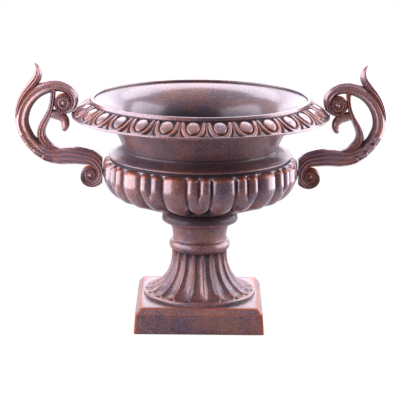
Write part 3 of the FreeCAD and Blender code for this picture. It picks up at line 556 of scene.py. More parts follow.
# Foot, flutes, bead, collar and disc, as radii and heights
FOOT_TOP = 30.2
FOOT_RADIUS = 57.2
FOOT_SIDE_TOP = FOOT_TOP - 2.2
FOOT_EDGE = FOOT_RADIUS - 1.6
FOOT_CURVE = 2.0
FLARE_ROLL = 14.0
FLARE_END = (48.5, 31.8)
FLARE = 43.0
FLARE_HEIGHT = 68.5
STEM = 28.0
BEAD_FOOT = (28.4, 72.8)
BEAD_TOP = (28.6, 83.2)
BEAD_CURVE = 6.8
COLLAR_FOOT = (27.5, 83.4)
COLLAR_TOP = (31.2, 101.3)
COLLAR_CURVE = 30.0
DISC_FOOT = (37.4, 102.4)
DISC_SIDE = (38.2, 103.2)
DISC_RADIUS = 34.0
DISC_CURVE = 8.6

# Flutes: half a ridge is in degrees, spans are distances up from the foot or parts of a flute's half width
FLUTES = 19
FLUTE_TURN = -2.8
FLUTE_DEPTH = 2.3
FLUTE_HOLLOW = 2.6
FLUTE_RIDGE = 0.9
FLUTE_START = 8.0
FLUTE_FOOT = 1.2
FLUTE_SHALLOW = 0.45
FLUTE_DEEPENS = (2, 16)
BRIM_RISE = 0.4
BRIM_MIDDLE = 1.08
BRIM_HALF = 0.07
BRIM_FADES = (8, 20)
POCKET_DEPTH = 0.9
POCKET_EDGE = (1.2, 1.3)
POCKET_FOOT = (0.6, 1.4)
POCKET_TOP = (5, 7)

# The pedestal's zones: greatest gap between rows, the scale of wear and of painted shade, and painted shade
# (painted light where negative)
PEDESTAL_SPACING = {
    "plinth": 0.8, "ledge": 0.5, "foot": 1.2, "flutes": 0.85, "bead": 0.9, "collar": 1.2, "disc": 0.9,
    "inside": 6.0,
}
PEDESTAL_WEAR_AND_SHADE = {"plinth": 1.6, "ledge": 0.0, "bead": 0.45, "inside": 0.0}
PEDESTAL_SHADE = {"foot": -0.9}
# Wear and painted shade on the flutes' ridges and the disc's edge, painted light on the flutes' ends, painted
# shade on the disc's top
MOST_RIDGE_WEAR_AND_SHADE = 2.7
FLUTE_END_SHADE = -1.2
FLUTE_END_SPAN = (8, 24)
DISC_WEAR_AND_SHADE = 1.8
DISC_SHADE = 1.1
DISC_EDGE_SPAN = (1.0, 3.0)


def pedestal_profile():
    """From the top plate's underside down the hollow, round the plinth and up the outside to the disc."""
    walk = Profile(BORE, PLATE_FOOT)
    walk.enter("inside").line(BORE, BORE_FOOT).line(*HOLLOW_MIDDLE).line(HOLLOW_FOOT, PLINTH_CEILING)
    walk.line(PLINTH_INSIDE, PLINTH_CEILING, square=1.0)
    walk.enter("plinth").line(PLINTH_INSIDE, 0).line(PLINTH_HALF, 0).line(*PLINTH_SHOULDER)
    walk.line(PLINTH_EDGE, PLINTH_TOP).line(PLINTH_LEVEL, PLINTH_TOP)
    walk.enter("ledge").line(FOOT_RADIUS, PLINTH_TOP, square=0.0)
    walk.enter("foot").line(FOOT_RADIUS, FOOT_SIDE_TOP).arc(FOOT_EDGE, FOOT_TOP, FOOT_CURVE)
    walk.enter("flutes").arc(*FLARE_END, -FLARE_ROLL).arc(STEM, FLARE_HEIGHT, -FLARE).line(STEM, BEAD_FOOT[1])
    walk.enter("bead").line(*BEAD_FOOT).arc(*BEAD_TOP, BEAD_CURVE).line(*COLLAR_FOOT)
    walk.enter("collar").arc(*COLLAR_TOP, -COLLAR_CURVE).line(*DISC_FOOT)
    walk.enter("disc").line(*DISC_SIDE).arc(DISC_RADIUS, SEAT, DISC_CURVE)
    walk.enter("inside").line(BORE, SEAT)
    return walk


def flute_relief(degrees, up):
    """Hollow flutes with narrow ridges between them, and small pockets between their round ends."""
    pitch = 360 / FLUTES
    side = np.abs(wrapped(degrees, pitch, FLUTE_TURN))
    half = pitch / 2 - FLUTE_RIDGE
    end = np.clip((FLUTE_START - up) / (FLUTE_START - FLUTE_FOOT), 0, None)
    away = np.sqrt((side / half) ** 2 + end ** 2)
    depth = FLUTE_DEPTH * (FLUTE_SHALLOW + (1 - FLUTE_SHALLOW) * smooth_step(*FLUTE_DEEPENS, up))
    hollow = depth * np.clip(1 - away ** FLUTE_HOLLOW, 0, 1)
    brim = BRIM_RISE * np.exp(-((away - BRIM_MIDDLE) / BRIM_HALF) ** 2) * (1 - smooth_step(*BRIM_FADES, up))
    low = smooth_step(*POCKET_FOOT, up) * (1 - smooth_step(*POCKET_TOP, up))
    pocket = POCKET_DEPTH * smooth_step(*POCKET_EDGE, away) * low
    return brim - hollow - pocket


def make_pedestal():
    samples, normals, zones, inside = pedestal_profile().rows(PEDESTAL_SOFTNESS, PEDESTAL_SPACING)
    degrees = round_the_axis(PEDESTAL_TURNS)
    relief = np.zeros((len(samples), PEDESTAL_TURNS))
    flutes = zones == "flutes"
    relief[flutes] = flute_relief(degrees, inside[flutes][:, None])
    disc = zones == "disc"
    over_edge = smooth_step(*DISC_EDGE_SPAN, inside[disc])
    wear_and_shade = by_zone(zones, PEDESTAL_WEAR_AND_SHADE, 1.0)
    wear_and_shade[flutes] = np.clip((FOOT_RADIUS / samples[flutes, 0]) ** 2, 1.0, MOST_RIDGE_WEAR_AND_SHADE)
    wear_and_shade[disc] = DISC_WEAR_AND_SHADE * (1 - over_edge)
    # Painted light on the foot and the flutes' ends, painted shade on the disc's top
    painted_shade = by_zone(zones, PEDESTAL_SHADE, 0.0)
    painted_shade[flutes] = FLUTE_END_SHADE * (1 - smooth_step(*FLUTE_END_SPAN, inside[flutes]))
    painted_shade[disc] = DISC_SHADE * over_edge
    casting = Casting("pedestal_casting")
    casting.grid(turned_grid(samples, normals, relief), *PEDESTAL_SURROUNDINGS, wear_and_shade, painted_shade)
    drilled_floor(casting, BORE, SEAT, PLATE_FOOT)
    return casting.mesh()


# Handles: ridged straps wound into volutes, with husks under the big scroll, a strut, a leaf and a hook

# Where a handle stays clear of the bowl: of the belly below a height, and of the rim's band above it
HANDLE_GAP = 0.15
SEAT_PLANE = BELLY_RADIUS + HANDLE_GAP
SEAT_PLANE_TOP = 190.0
BAND_MIDDLE = (121.6, 220.0)
BAND_MARGIN = 0.2

# Straps: the big scroll's centre and radius, a strap's width, passes of softening, cut rows and steps
SCROLL_X = 145.5
SCROLL_Z = 201.5
SCROLL = 35.0
STRAP_WIDTH = 18.0
STRAP_SURROUNDINGS = (4, 16)
CUT_END = 4
MAIN_STEPS = 40
STRUT_STEPS = 24
LEAF_STEPS = 28
HOOK_STEPS = 24

# Stations along a strap: their gap, their least number, and the softening of the main and the short straps
STATION_GAP = 0.7
LEAST_STATIONS = 6
MAIN_SOFTNESS = 2.2
SHORT_SOFTNESS = 4.0

# Volutes: centres, the degrees that one winds, how fast it closes, and how it thins, narrows and swells
FOOT_VOLUTE = (110.9, 148.4)
HEAD_VOLUTE = (137.5, 222.6)
VOLUTE_STATIONS = 220
WOUND = 230.0
VOLUTE_DECAY = 89.0
VOLUTE_THINS = 0.7
VOLUTE_NARROWS = 0.16
EYE_RADIUS = 2.4
EYE_THINS = 0.3
EYE_SWELLS = 2.2
EYE_LEAST = 0.4

# The rosette in a volute: radii of its rings with their rise over its half thickness
ROSETTE_HALF = 6.0
ROSETTE_STEPS = 40
ROSETTE_RINGS = (
    (0.2, 2.0), (1.3, 1.7), (2.3, 0.7), (2.9, -0.8), (3.6, -0.5), (4.8, 0.7), (6.0, 0.0), (6.7, -1.0),
)
ROSETTE_BORDER = -0.8
# Painted light that lightens the rosettes
ROSETTE_PAINTED_LIGHT = 2.2
ROSETTE_SURROUNDINGS = (2, 4)
FOOT_ROSETTE = 9.8
HEAD_ROSETTE = 9.2

# The big scroll, by degrees up from its outer side: radius over its outside, and thickness
SCROLL_ANGLES = (-84, 72)
SCROLL_STATIONS = 80
SCROLL_OUTSIDE = (
    (-90, 42.0), (-60, 39.0), (-40, 38.0), (-20, 38.8), (0, 41.2), (30, 42.0), (60, 43.0), (75, 44.2),
)
SCROLL_THICK = ((-90, 17.0), (-60, 14.4), (-30, 12.9), (0, 13.6), (30, 13.2), (60, 12.4), (75, 13.0))
SCROLL_WIDTH = ((-84, STRAP_WIDTH), (-30, STRAP_WIDTH * 0.92))
HEAD_WIDTH = STRAP_WIDTH * 0.9
FACES_CHANGE = (-70, -40)
# Painted shade on the big scroll's steep inner slope: how deep it is, and where across the face it falls
SLOPE_SHADE = 2.4
SLOPE_SPAN = (0.42, 0.62)

# Husks that overlap along the outer half of the scroll
HUSKS = 4
HUSK_ANGLES = (-86, -14)
HUSK_RISE = 0.34
HUSK_LEVEL = 0.4
HUSK_TONGUE = 1.1
HUSK_MIDDLE = 0.5
HUSK_FADE = 0.2
HUSK_INNER_EDGE = (-0.1, 0.15)
HUSK_OUTER_EDGE = (0.9, 1)

# Ridges of a strap's faces from its inner side at -1 to its outer side at 1, as parts of its half width
ARM_FACE = (
    (-1, 0.25), (-0.9, 0.58), (-0.64, 0.95), (-0.42, 0.78), (-0.18, 1.0), (0.06, 0.8), (0.3, 0.98),
    (0.54, 0.74), (0.74, 0.88), (0.92, 0.52), (1, 0.25),
)
SCROLL_FACE = (
    (-1, 0.1), (-0.92, 0.2), (-0.4, 0.98), (-0.26, 0.82), (0.0, 0.76), (0.3, 0.82), (0.46, 0.98),
    (0.6, 0.78), (0.88, 0.62), (1, 0.25),
)
STRUT_FACE = ((-1, 0.2), (-0.8, 0.62), (-0.45, 1.0), (-0.05, 0.74), (0.35, 0.98), (0.75, 0.66), (1, 0.2))
LEAF_FACE = (
    (-1, 0.2), (-0.55, 0.55), (-0.18, 0.72), (0.0, 1.0), (0.2, 0.72), (0.55, 0.88), (0.8, 0.62), (1, 0.2),
)
HOOK_FACE = ((-1, 0.15), (-0.6, 0.76), (0.0, 1.0), (0.6, 0.76), (1, 0.15))

# The arm between the foot volute and the big scroll: x, z, thickness and width
ARM = (
    (118.0, 167.9, 17.6, STRAP_WIDTH),
    (126.0, 168.9, 18.4, STRAP_WIDTH),
    (134.0, 168.9, 18.6, STRAP_WIDTH),
    (141.0, 168.2, 18.2, STRAP_WIDTH),
)

# Short straps, from the big scroll's centre in units of its radius: x, z, thickness and width
STRUT = (
    (-0.30, -0.80, 4.0, 9.0),
    (-0.02, -0.76, 6.5, 12.5),
    (0.18, -0.69, 8.5, 14.5),
    (0.345, -0.55, 9.6, 14.5),
    (0.435, -0.39, 9.2, 14.0),
    (0.437, -0.22, 8.3, 13.5),
    (0.37, -0.04, 7.6, 13.0),
    (0.24, 0.195, 6.8, 13.0),
    (0.155, 0.40, 5.8, 13.0),
    (0.11, 0.61, 5.2, 13.0),
    (0.09, 0.80, 5.4, 13.0),
    (0.06, 1.02, 5.4, 12.0),
)
LEAF = (
    (1.09, -0.10, 3.0, 9.0),
    (1.13, 0.20, 4.6, 13.0),
    (1.10, 0.405, 5.4, 15.0),
    (1.03, 0.636, 6.0, 17.0),
    (0.92, 0.844, 7.2, 18.5),
    (0.78, 1.013, 8.6, 18.0),
    (0.633, 1.17, 9.6, 16.5),
    (0.52, 1.325, 9.2, 14.0),
    (0.487, 1.48, 7.2, 11.0),
    (0.512, 1.61, 4.4, 7.0),
    (0.60, 1.745, 0.9, 2.2),
)
HOOK = (
    (0.22, 0.27, 6.0, 9.0),
    (0.08, 0.27, 10.5, 12.0),
    (-0.03, 0.25, 10.5, 12.0),
    (-0.14, 0.215, 9.8, 11.6),
    (-0.235, 0.14, 9.2, 11.0),
    (-0.275, 0.01, 8.8, 10.6),
    (-0.265, -0.11, 8.0, 10.0),
    (-0.235, -0.18, 6.6, 8.6),
    (-0.215, -0.225, 3.6, 5.0),
)


def volute(centre, radius, first, reach, thick, width, turns):
    """Stations (x, z, thickness, width) of a strap that winds in from the angle first to the eye."""
    last = first + WOUND
    angle = np.linspace(first, last + 360 * turns, VOLUTE_STATIONS)
    wound = np.clip(angle - first, 0, WOUND)
    outer = radius + (reach - radius) * np.exp(-wound / VOLUTE_DECAY)
    inner = np.clip((angle - last) / (360 * turns), 0, 1)
    outer = outer - (outer - EYE_RADIUS) * inner
    thin = thick * (1 - VOLUTE_THINS * wound / WOUND) * (1 - EYE_THINS * inner)
    across = width * (1 - VOLUTE_NARROWS * wound / WOUND) + EYE_SWELLS * inner
    middle = np.maximum(outer - thin / 2, EYE_LEAST)
    turn = np.radians(angle)
    x = centre[0] + middle * np.cos(turn)
    z = centre[1] + middle * np.sin(turn)
    return np.stack([x, z, thin, across], axis=1)


def even_stations(stations, softness):
    """Spaces the stations of a strap evenly and softens its bends."""
    walked = distance_along(stations)
    places = np.linspace(0, walked[-1], max(LEAST_STATIONS, int(walked[-1] / STATION_GAP)))
    even = np.stack([np.interp(places, walked, column) for column in stations.T], axis=1)
    return blur_line(even, softness)


def across_face(steps):
    """Places across a strap's face from its inner side at -1 to its outer side at 1, closer near both."""
    return np.sin(np.linspace(-math.pi / 2, math.pi / 2, steps))


def both_faces(part):
    """Places round a strap: inwards over its back face and outwards over its front face."""
    return np.concatenate([part[::-1], part])[None, :]


def face_height(face, part):
    places, heights = zip(*face)
    return np.interp(part, places, heights)


def strap(stations, first_face, second_face, steps):
    """A grid round a strap. Its fifth column changes the faces from the first to the second, and its sixth
    counts the husks that overlap along the outer half of it."""
    along = np.gradient(stations[:, :2], axis=0)
    along /= np.linalg.norm(along, axis=1)[:, None]
    across = np.stack([along[:, 1], -along[:, 0]], axis=1)
    part = across_face(steps)
    blend, count = stations[:, 4:5], stations[:, 5:6]
    height = face_height(first_face, part) * (1 - blend) + face_height(second_face, part) * blend
    tongue = (count + HUSK_TONGUE * (part - HUSK_MIDDLE) ** 2) % 1.0
    on_husk = smooth_step(0.0, HUSK_FADE, count) * (1 - smooth_step(HUSKS - HUSK_FADE, HUSKS, count))
    outer_half = smooth_step(*HUSK_INNER_EDGE, part) * (1 - smooth_step(*HUSK_OUTER_EDGE, part))
    height = height + HUSK_RISE * (tongue - HUSK_LEVEL) * on_husk * outer_half
    flat = both_faces(part)
    depth = np.concatenate([height[:, ::-1], -height], axis=1)
    thick = stations[:, 2:3] / 2
    x = stations[:, 0:1] + across[:, 0:1] * thick * flat
    z = stations[:, 1:2] + across[:, 1:2] * thick * flat
    return np.stack([x, depth * stations[:, 3:4] / 2, z], axis=2)


def closed_ends(grid):
    """Adds a point at each end so that a strap has no open mouth."""
    first = np.repeat(grid[:1].mean(axis=1, keepdims=True), grid.shape[1], axis=1)
    last = np.repeat(grid[-1:].mean(axis=1, keepdims=True), grid.shape[1], axis=1)
    return np.concatenate([first, grid, last])


def add_strap(casting, grid, painted_shade=None):
    """Adds a strap whose cut ends show no wear and no painted shade from their form."""
    wear_and_shade = np.ones(len(grid))
    wear_and_shade[:CUT_END] = wear_and_shade[-CUT_END:] = 0.0
    casting.grid(grid, *STRAP_SURROUNDINGS, wear_and_shade, painted_shade)


def inner_shade(stations, steps):
    """The painted shade that darkens the steep inner slope of the big scroll, for a strap with closed ends.
    """
    blend = np.pad(stations[:, 4], 1, mode="edge")[:, None]
    return SLOPE_SHADE * blend * smooth_step(*SLOPE_SPAN, -both_faces(across_face(steps)))


def with_columns(stations, blend, count):
    """Adds the columns for the faces and for the husks."""
    extra = np.stack([np.broadcast_to(blend, len(stations)), np.broadcast_to(count, len(stations))], axis=1)
    return np.concatenate([stations, extra], axis=1)


def main_strap():
    """Stations from the foot volute's eye along the arm and the big scroll to the head volute's eye."""
    foot = volute(FOOT_VOLUTE, radius=10.5, first=90, reach=26.2, thick=15.4, width=STRAP_WIDTH, turns=1.15)
    head = volute(HEAD_VOLUTE, radius=10.0, first=48, reach=28.6, thick=13.0, width=HEAD_WIDTH, turns=1.5)
    degrees = np.linspace(*SCROLL_ANGLES, SCROLL_STATIONS)
    outside = np.interp(degrees, *zip(*SCROLL_OUTSIDE))
    thick = np.interp(degrees, *zip(*SCROLL_THICK))
    width = np.interp(degrees, *zip(*SCROLL_WIDTH))
    turn = np.radians(degrees)
    middle = outside - thick / 2
    x = SCROLL_X + middle * np.cos(turn)
    z = SCROLL_Z + middle * np.sin(turn)
    scroll = np.stack([x, z, thick, width], axis=1)
    husks = np.interp(degrees, HUSK_ANGLES, (0, HUSKS))
    whole = np.concatenate([
        with_columns(foot[::-1], 0.0, 0.0),
        with_columns(np.array(ARM), 0.0, 0.0),
        with_columns(scroll, smooth_step(*FACES_CHANGE, degrees), husks),
        with_columns(head, 1.0, HUSKS),
    ])
    return even_stations(whole, MAIN_SOFTNESS)


def short_strap(face, points, steps):
    """A strap with one kind of face through points round the big scroll's centre."""
    places = [(SCROLL_X + SCROLL * x, SCROLL_Z + SCROLL * z, thick, width) for x, z, thick, width in points]
    stations = even_stations(with_columns(np.array(places), 0.0, 0.0), SHORT_SOFTNESS)
    return closed_ends(strap(stations, face, face, steps))


def volute_rosette(casting, centre, radius):
    """A ringed rosette that fills the middle of a volute, with a domed eye, lightened with painted light."""
    rows = [(reach, ROSETTE_HALF + rise) for reach, rise in (*ROSETTE_RINGS, (radius, ROSETTE_BORDER))]
    rows += [(reach, -level) for reach, level in rows[::-1]]
    angle = 2 * math.pi * np.arange(ROSETTE_STEPS)[None, :] / ROSETTE_STEPS
    reach = np.array([reach for reach, _ in rows])[:, None]
    y = np.array([level for _, level in rows])[:, None] + 0 * angle
    grid = np.stack([centre[0] + reach * np.cos(angle), y, centre[1] + reach * np.sin(angle)], axis=2)
    casting.grid(grid, *ROSETTE_SURROUNDINGS, painted_shade=np.full(len(rows), -ROSETTE_PAINTED_LIGHT))


def clear_of_bowl(points):
    """Keeps a handle off the belly and off the rim's band."""
    radius, height = BAND_MIDDLE
    band_height = np.array([RIM_BASE - BAND_MARGIN, RIM_EDGE_TOP, height, BAND_TOP + BAND_MARGIN])
    band_radius = np.array([RIM_RADIUS, RIM_RADIUS, radius, LIP_RADIUS]) + HANDLE_GAP
    x, y, z = points.T
    bound = np.interp(z, band_height, band_radius, left=0, right=0)
    kept = np.sqrt(np.maximum(bound ** 2 - y ** 2, 0))
    x = np.where(z < SEAT_PLANE_TOP, np.maximum(x, SEAT_PLANE), np.maximum(x, kept))
    return np.stack([x, y, z], axis=1)


def make_handle(name, mirror):
    casting = Casting(name)
    main = main_strap()
    wound = closed_ends(strap(main, ARM_FACE, SCROLL_FACE, MAIN_STEPS))
    add_strap(casting, wound, inner_shade(main, MAIN_STEPS))
    add_strap(casting, short_strap(STRUT_FACE, STRUT, STRUT_STEPS))
    add_strap(casting, short_strap(LEAF_FACE, LEAF, LEAF_STEPS))
    add_strap(casting, short_strap(HOOK_FACE, HOOK, HOOK_STEPS))
    volute_rosette(casting, FOOT_VOLUTE, FOOT_ROSETTE)
    volute_rosette(casting, HEAD_VOLUTE, HEAD_ROSETTE)
    casting.points = [clear_of_bowl(points) for points in casting.points]
    return casting.mesh(mirror)


# Materials

# Sockets of a Mix node that mixes colours
MIX_FACTOR = 0
MIX_FIRST = 6
MIX_SECOND = 7
MIX_RESULT = 2


class Value:
    """A socket that takes part in Python expressions by adding Math nodes."""

    def __init__(self, shader, socket):
        self.shader = shader
        self.socket = socket

    def maths(self, operation, *others):
        inputs = dict(enumerate((self,) + others))
        return self.shader.node("ShaderNodeMath", {"operation": operation}, inputs)["Value"]

    def __add__(self, other):
        return self.maths("ADD", other)

    __radd__ = __add__

    def __mul__(self, other):
        return self.maths("MULTIPLY", other)

    __rmul__ = __mul__

    def __sub__(self, other):
        return self.maths("SUBTRACT", other)

    def __rsub__(self, other):
        return self.maths("MULTIPLY", -1.0).maths("ADD", other)

    def between(self, low, high):
        """Rises smoothly from 0 at low to 1 at high."""
        inputs = {"Value": self, "From Min": low, "From Max": high}
        settings = {"interpolation_type": "SMOOTHSTEP"}
        return self.shader.node("ShaderNodeMapRange", settings, inputs)["Result"]


class Outputs:
    """The output sockets of a node, by name."""

    def __init__(self, shader, node):
        self.shader = shader
        self.node = node

    def __getitem__(self, name):
        return Value(self.shader, self.node.outputs[name])


class Shader:
    """The node tree of a material or a world."""

    def __init__(self, owner):
        owner.use_nodes = True
        self.tree = owner.node_tree
        self.tree.nodes.clear()

    def node(self, kind, settings, inputs):
        node = self.tree.nodes.new(kind)
        for key, setting in settings.items():
            setattr(node, key, setting)
        for key, value in inputs.items():
            if isinstance(value, Value):
                self.tree.links.new(value.socket, node.inputs[key])
            else:
                node.inputs[key].default_value = value
        return Outputs(self, node)

    def mix(self, factor, first, second):
        inputs = {MIX_FACTOR: factor, MIX_FIRST: first, MIX_SECOND: second}
        return self.node("ShaderNodeMix", {"data_type": "RGBA"}, inputs)[MIX_RESULT]

    def noise(self, place, scale, detail, roughness):
        inputs = {"Vector": place, "Scale": scale, "Detail": detail, "Roughness": roughness}
        return self.node("ShaderNodeTexNoise", {}, inputs)["Fac"]

    def attribute(self, name):
        return self.node("ShaderNodeAttribute", {"attribute_name": name}, {})["Fac"]

    def seen_directly(self):
        """The rays from the camera or through glass, and those off a gloss."""
        path = self.node("ShaderNodeLightPath", {}, {})
        return path["Is Camera Ray"] + path["Is Transmission Ray"], path["Is Glossy Ray"]


def colour(red, green, blue):
    """A colour as it looks on a screen, from 0 to 255, in linear values."""
    channels = []
    for channel in (red, green, blue):
        part = channel / 255
        channels.append(part / 12.92 if part <= 0.04045 else ((part + 0.055) / 1.055) ** 2.4)
    return (*channels, 1.0)


# Colours of the iron: two tones of each patina, pores, painted glints in the grain, the painted shade of
# recesses and creases, and rubbed edges
DARK_PATINA = (colour(77, 51, 61), colour(126, 73, 51))
# The handles' paler patina: partly their own tone, partly painted light on their front faces
PALE_AND_LIT_PATINA = (colour(124, 93, 100), colour(156, 100, 80))
PORE = colour(38, 28, 36)
GLINT = colour(160, 136, 160)
RECESS_SHADE = colour(34, 23, 31)
COPPER = colour(158, 86, 52)

# Noise in the finishes: scale, detail and roughness
GRAIN = (420, 3.0, 0.65)
SPECKLE = (760, 2.0, 0.6)
CLOUD = (38, 3.0, 0.6)
BLOTCH = (130, 2.0, 0.6)
SAND = (560, 3.0, 0.7)
ZINC_CLOUD = (160, 2.0, 0.5)

# How the parts of the iron's finish begin and end, and how much of each shows, with the painted shade of
# recesses and creases and the painted glints among them
RAGGED = 0.35
RECESS_SHADE_START = 0.05
CREASE_SHADE_START = 0.6
CLOUD_SPAN = (0.32, 0.68)
PORE_SPAN = (0.46, 0.32)
PORE_SHOWS = 0.7
GLINT_SPAN = (0.5, 0.7)
GLINT_SHOWS = 0.5
COPPER_SHOWS = 0.85
GRAIN_IN_SAND = 0.6
SAND_HEIGHT = 1.0

# Tones of the zinc
ZINC_DARK = colour(150, 148, 144)
ZINC_PALE = colour(186, 184, 180)
ZINC_SPAN = (0.35, 0.65)

# The floor: its tones, how far behind the object it turns white in a gloss, and how white it is seen
FLOOR_TONE = (0.88, 0.88, 0.89, 1)
FLOOR_DARK = (0.04, 0.04, 0.05, 1)
FLOOR_DARKENS = 0.65
FLOOR_BEHIND = (0.0, 0.6)
FLOOR_GLOW = 0.97
WHITE = (1, 1, 1, 1)


def cast_iron(name, patina, wear_low, wear_high, shade, dark, rough, gloss):
    """Satin sand-cast iron: brown on its open faces with painted glints in the grain, rubbed to copper on its
    edges, and darkened with painted shade in its recesses and creases. Wear shows from low to high, in
    millimetres proud, and the painted shade of recesses is darkest at a depth of shade. Dark, rough and gloss
    are how dark the painted shade is, how sandy the skin is and how much coat the open faces keep."""
    material = bpy.data.materials.new(name)
    shader = Shader(material)
    place = shader.node("ShaderNodeTexCoord", {}, {})["Object"]
    proud = shader.attribute("proud")
    depth = shader.attribute("depth")
    matt = shader.attribute("matt")
    grain = shader.noise(place, *GRAIN)
    blotch = shader.noise(place, *BLOTCH)
    # Painted shade: recesses darken by the depth attribute, which also holds each zone's painted shade, and
    # creases darken by how far they sink below what is close to them
    recess_shade = (depth * -1.0).between(RECESS_SHADE_START, shade)
    crease_shade = (proud * -1.0).between(wear_low * CREASE_SHADE_START, wear_high)
    hollow = recess_shade.maths("MAXIMUM", crease_shade)
    wear = (proud + (blotch + grain - 1.0) * (RAGGED * wear_high)).between(wear_low, wear_high)
    body = shader.mix(shader.noise(place, *CLOUD).between(*CLOUD_SPAN), *patina)
    body = shader.mix(grain.between(*PORE_SPAN) * PORE_SHOWS, body, PORE)
    # Painted glints: small painted highlights speckled through the grain
    body = shader.mix(shader.noise(place, *SPECKLE).between(*GLINT_SPAN) * GLINT_SHOWS, body, GLINT)
    # The recess colour is painted shade, mixed in where the recesses and creases are
    body = shader.mix(hollow * dark, body, RECESS_SHADE)
    body = shader.mix(wear * COPPER_SHOWS, body, COPPER)
    skin = shader.noise(place, *SAND) + grain * GRAIN_IN_SAND
    bump = shader.node("ShaderNodeBump", {}, {
        "Strength": rough,
        "Distance": SAND_HEIGHT * MM,
        "Height": skin,
    })
    iron = shader.node("ShaderNodeBsdfPrincipled", {}, {
        "Base Color": body,
        "Metallic": 0.35 + wear * 0.4,
        "Roughness": 0.4 + hollow * 0.3 + wear * 0.08 + matt * 0.2,
        "Specular IOR Level": 0.6,
        "Coat Weight": (1 - hollow * 0.8) * (1 - wear * 0.85) * (1 - matt) * gloss,
        "Coat Roughness": 0.2,
        "Coat IOR": 1.8,
        "Normal": bump["Normal"],
    })
    shader.node("ShaderNodeOutputMaterial", {}, {"Surface": iron["BSDF"]})
    return material


def zinc_steel():
    material = bpy.data.materials.new("zinc_plated_steel")
    shader = Shader(material)
    place = shader.node("ShaderNodeTexCoord", {}, {})["Object"]
    tone = shader.mix(shader.noise(place, *ZINC_CLOUD).between(*ZINC_SPAN), ZINC_DARK, ZINC_PALE)
    steel = shader.node("ShaderNodeBsdfPrincipled", {}, {
        "Base Color": tone,
        "Metallic": 0.9,
        "Roughness": 0.42,
    })
    shader.node("ShaderNodeOutputMaterial", {}, {"Surface": steel["BSDF"]})
    return material


def white_floor():
    """A pale floor that keeps shadows, white to the camera, and in a gloss white only behind the object."""
    material = bpy.data.materials.new("pale_floor")
    shader = Shader(material)
    seen, glossy = shader.seen_directly()
    place = shader.node("ShaderNodeNewGeometry", {}, {})["Position"]
    behind = shader.node("ShaderNodeSeparateXYZ", {}, {"Vector": place})["Y"].between(*FLOOR_BEHIND)
    tone = shader.mix(glossy * (1 - behind) * FLOOR_DARKENS, FLOOR_TONE, FLOOR_DARK)
    matt = shader.node("ShaderNodeBsdfDiffuse", {}, {"Color": tone})["BSDF"]
    glow = shader.node("ShaderNodeEmission", {}, {"Color": WHITE, "Strength": 1.0})["Emission"]
    lit = (seen + glossy * behind) * FLOOR_GLOW
    both = shader.node("ShaderNodeMixShader", {}, {0: lit, 1: matt, 2: glow})
    shader.node("ShaderNodeOutputMaterial", {}, {"Surface": both["Shader"]})
    return material


# Stage, light and camera, in metres

FLOOR_HALF = 6.0
WORLD_LIGHT = 0.24
ROOM_SPAN = (-0.9, 0.1)
LIGHT_TINT = (0.92, 0.87, 1.0)
POT_MIDDLE = (0, 0, 0.14)

# The camera, with its place in millimetres and its angles in radians
CAMERA_BACK = 1823.4
CAMERA_HEIGHT = 553.75
CAMERA_PITCH = 0.2320
CAMERA_ROLL = 0.009
FOCAL_PIXELS = 1841.7
IMAGE_PIXELS = 400
SENSOR = 36.0


def make_floor():
    data = bpy.data.meshes.new("floor")
    corners = [(x * FLOOR_HALF, y * FLOOR_HALF, 0) for x, y in ((-1, -1), (1, -1), (1, 1), (-1, 1))]
    data.from_pydata(corners, [], [(0, 1, 2, 3)])
    data.materials.append(white_floor())
    floor = bpy.data.objects.new("floor", data)
    bpy.context.collection.objects.link(floor)


def make_world():
    """A room that is white where the camera looks, and in a gloss falls dark behind the camera."""
    world = bpy.data.worlds.new("white_room")
    shader = Shader(world)
    seen, glossy = shader.seen_directly()
    heading = shader.node("ShaderNodeTexCoord", {}, {})["Generated"]
    forward = shader.node("ShaderNodeSeparateXYZ", {}, {"Vector": heading})["Y"]
    white = (seen + glossy * forward.between(*ROOM_SPAN)).maths("MINIMUM", 1.0)
    strength = white * (1 - WORLD_LIGHT) + WORLD_LIGHT
    tint = shader.mix(seen.maths("MINIMUM", 1.0), (*LIGHT_TINT, 1), WHITE)
    sky = shader.node("ShaderNodeBackground", {}, {"Color": tint, "Strength": strength})
    shader.node("ShaderNodeOutputWorld", {}, {"Surface": sky["Background"]})
    bpy.context.scene.world = world


def softbox(name, place, target, size, watts):
    data = bpy.data.lights.new(name, "AREA")
    data.shape = "RECTANGLE"
    data.size, data.size_y = size
    data.energy = watts
    data.color = LIGHT_TINT
    lamp = bpy.data.objects.new(name, data)
    lamp.location = place
    lamp.rotation_euler = (Vector(target) - Vector(place)).to_track_quat("-Z", "Y").to_euler()
    bpy.context.collection.objects.link(lamp)


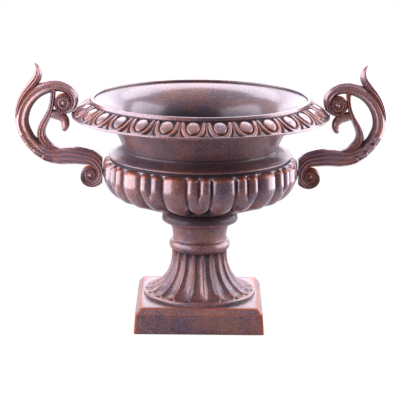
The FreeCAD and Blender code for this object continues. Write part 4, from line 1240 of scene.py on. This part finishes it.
def make_camera():
    data = bpy.data.cameras.new("camera")
    data.sensor_width = SENSOR
    data.lens = FOCAL_PIXELS / IMAGE_PIXELS * SENSOR
    camera = bpy.data.objects.new("camera", data)
    look = Matrix.Rotation(math.pi / 2 - CAMERA_PITCH, 4, "X") @ Matrix.Rotation(CAMERA_ROLL, 4, "Z")
    camera.matrix_world = Matrix.Translation((0, -CAMERA_BACK * MM, CAMERA_HEIGHT * MM)) @ look
    bpy.context.collection.objects.link(camera)
    bpy.context.scene.camera = camera


def dress(piece, node, material):
    piece.data.materials.append(material)
    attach(piece, "root")
    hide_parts(node)


bowl_iron = cast_iron(
    "bowl_iron", DARK_PATINA, wear_low=0.18, wear_high=0.7, shade=1.6, dark=0.92, rough=0.5, gloss=1.0,
)
pedestal_iron = cast_iron(
    "pedestal_iron", DARK_PATINA, wear_low=0.06, wear_high=0.26, shade=1.4, dark=0.9, rough=0.9, gloss=0.55,
)
handle_iron = cast_iron(
    "handle_iron", PALE_AND_LIT_PATINA, wear_low=0.08, wear_high=0.4, shade=2.8, dark=0.75, rough=0.08, gloss=0.8,
)
dress(make_bowl(), "bowl", bowl_iron)
dress(make_pedestal(), "pedestal", pedestal_iron)
dress(make_handle("right_handle_casting", False), "right_handle", handle_iron)
dress(make_handle("left_handle_casting", True), "left_handle", handle_iron)

steel = zinc_steel()
for node in ("left_handle_bolt", "right_handle_bolt", "left_handle_washer", "right_handle_washer",
             "tie_bolt", "tie_bolt_washer", "tie_nut_washer", "tie_nut"):
    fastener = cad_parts[node]
    fastener.data.materials.clear()
    fastener.data.materials.append(steel)

make_floor()
make_world()
softbox("left_softbox", place=(-0.45, -0.16, 0.36), target=(0, -0.1, 0.36), size=(0.8, 0.7), watts=8.4)
softbox("right_softbox", place=(0.45, 0.12, 0.36), target=(0, 0.06, 0.36), size=(0.6, 0.7), watts=6.5)
softbox("back_softbox", place=(0, 2.8, 1.1), target=POT_MIDDLE, size=(3.6, 1.5), watts=45)
softbox("high_softbox", place=(0, 1.1, 1.5), target=POT_MIDDLE, size=(1.8, 0.9), watts=26)
make_camera()
bpy.context.scene.view_settings.view_transform = "Standard"
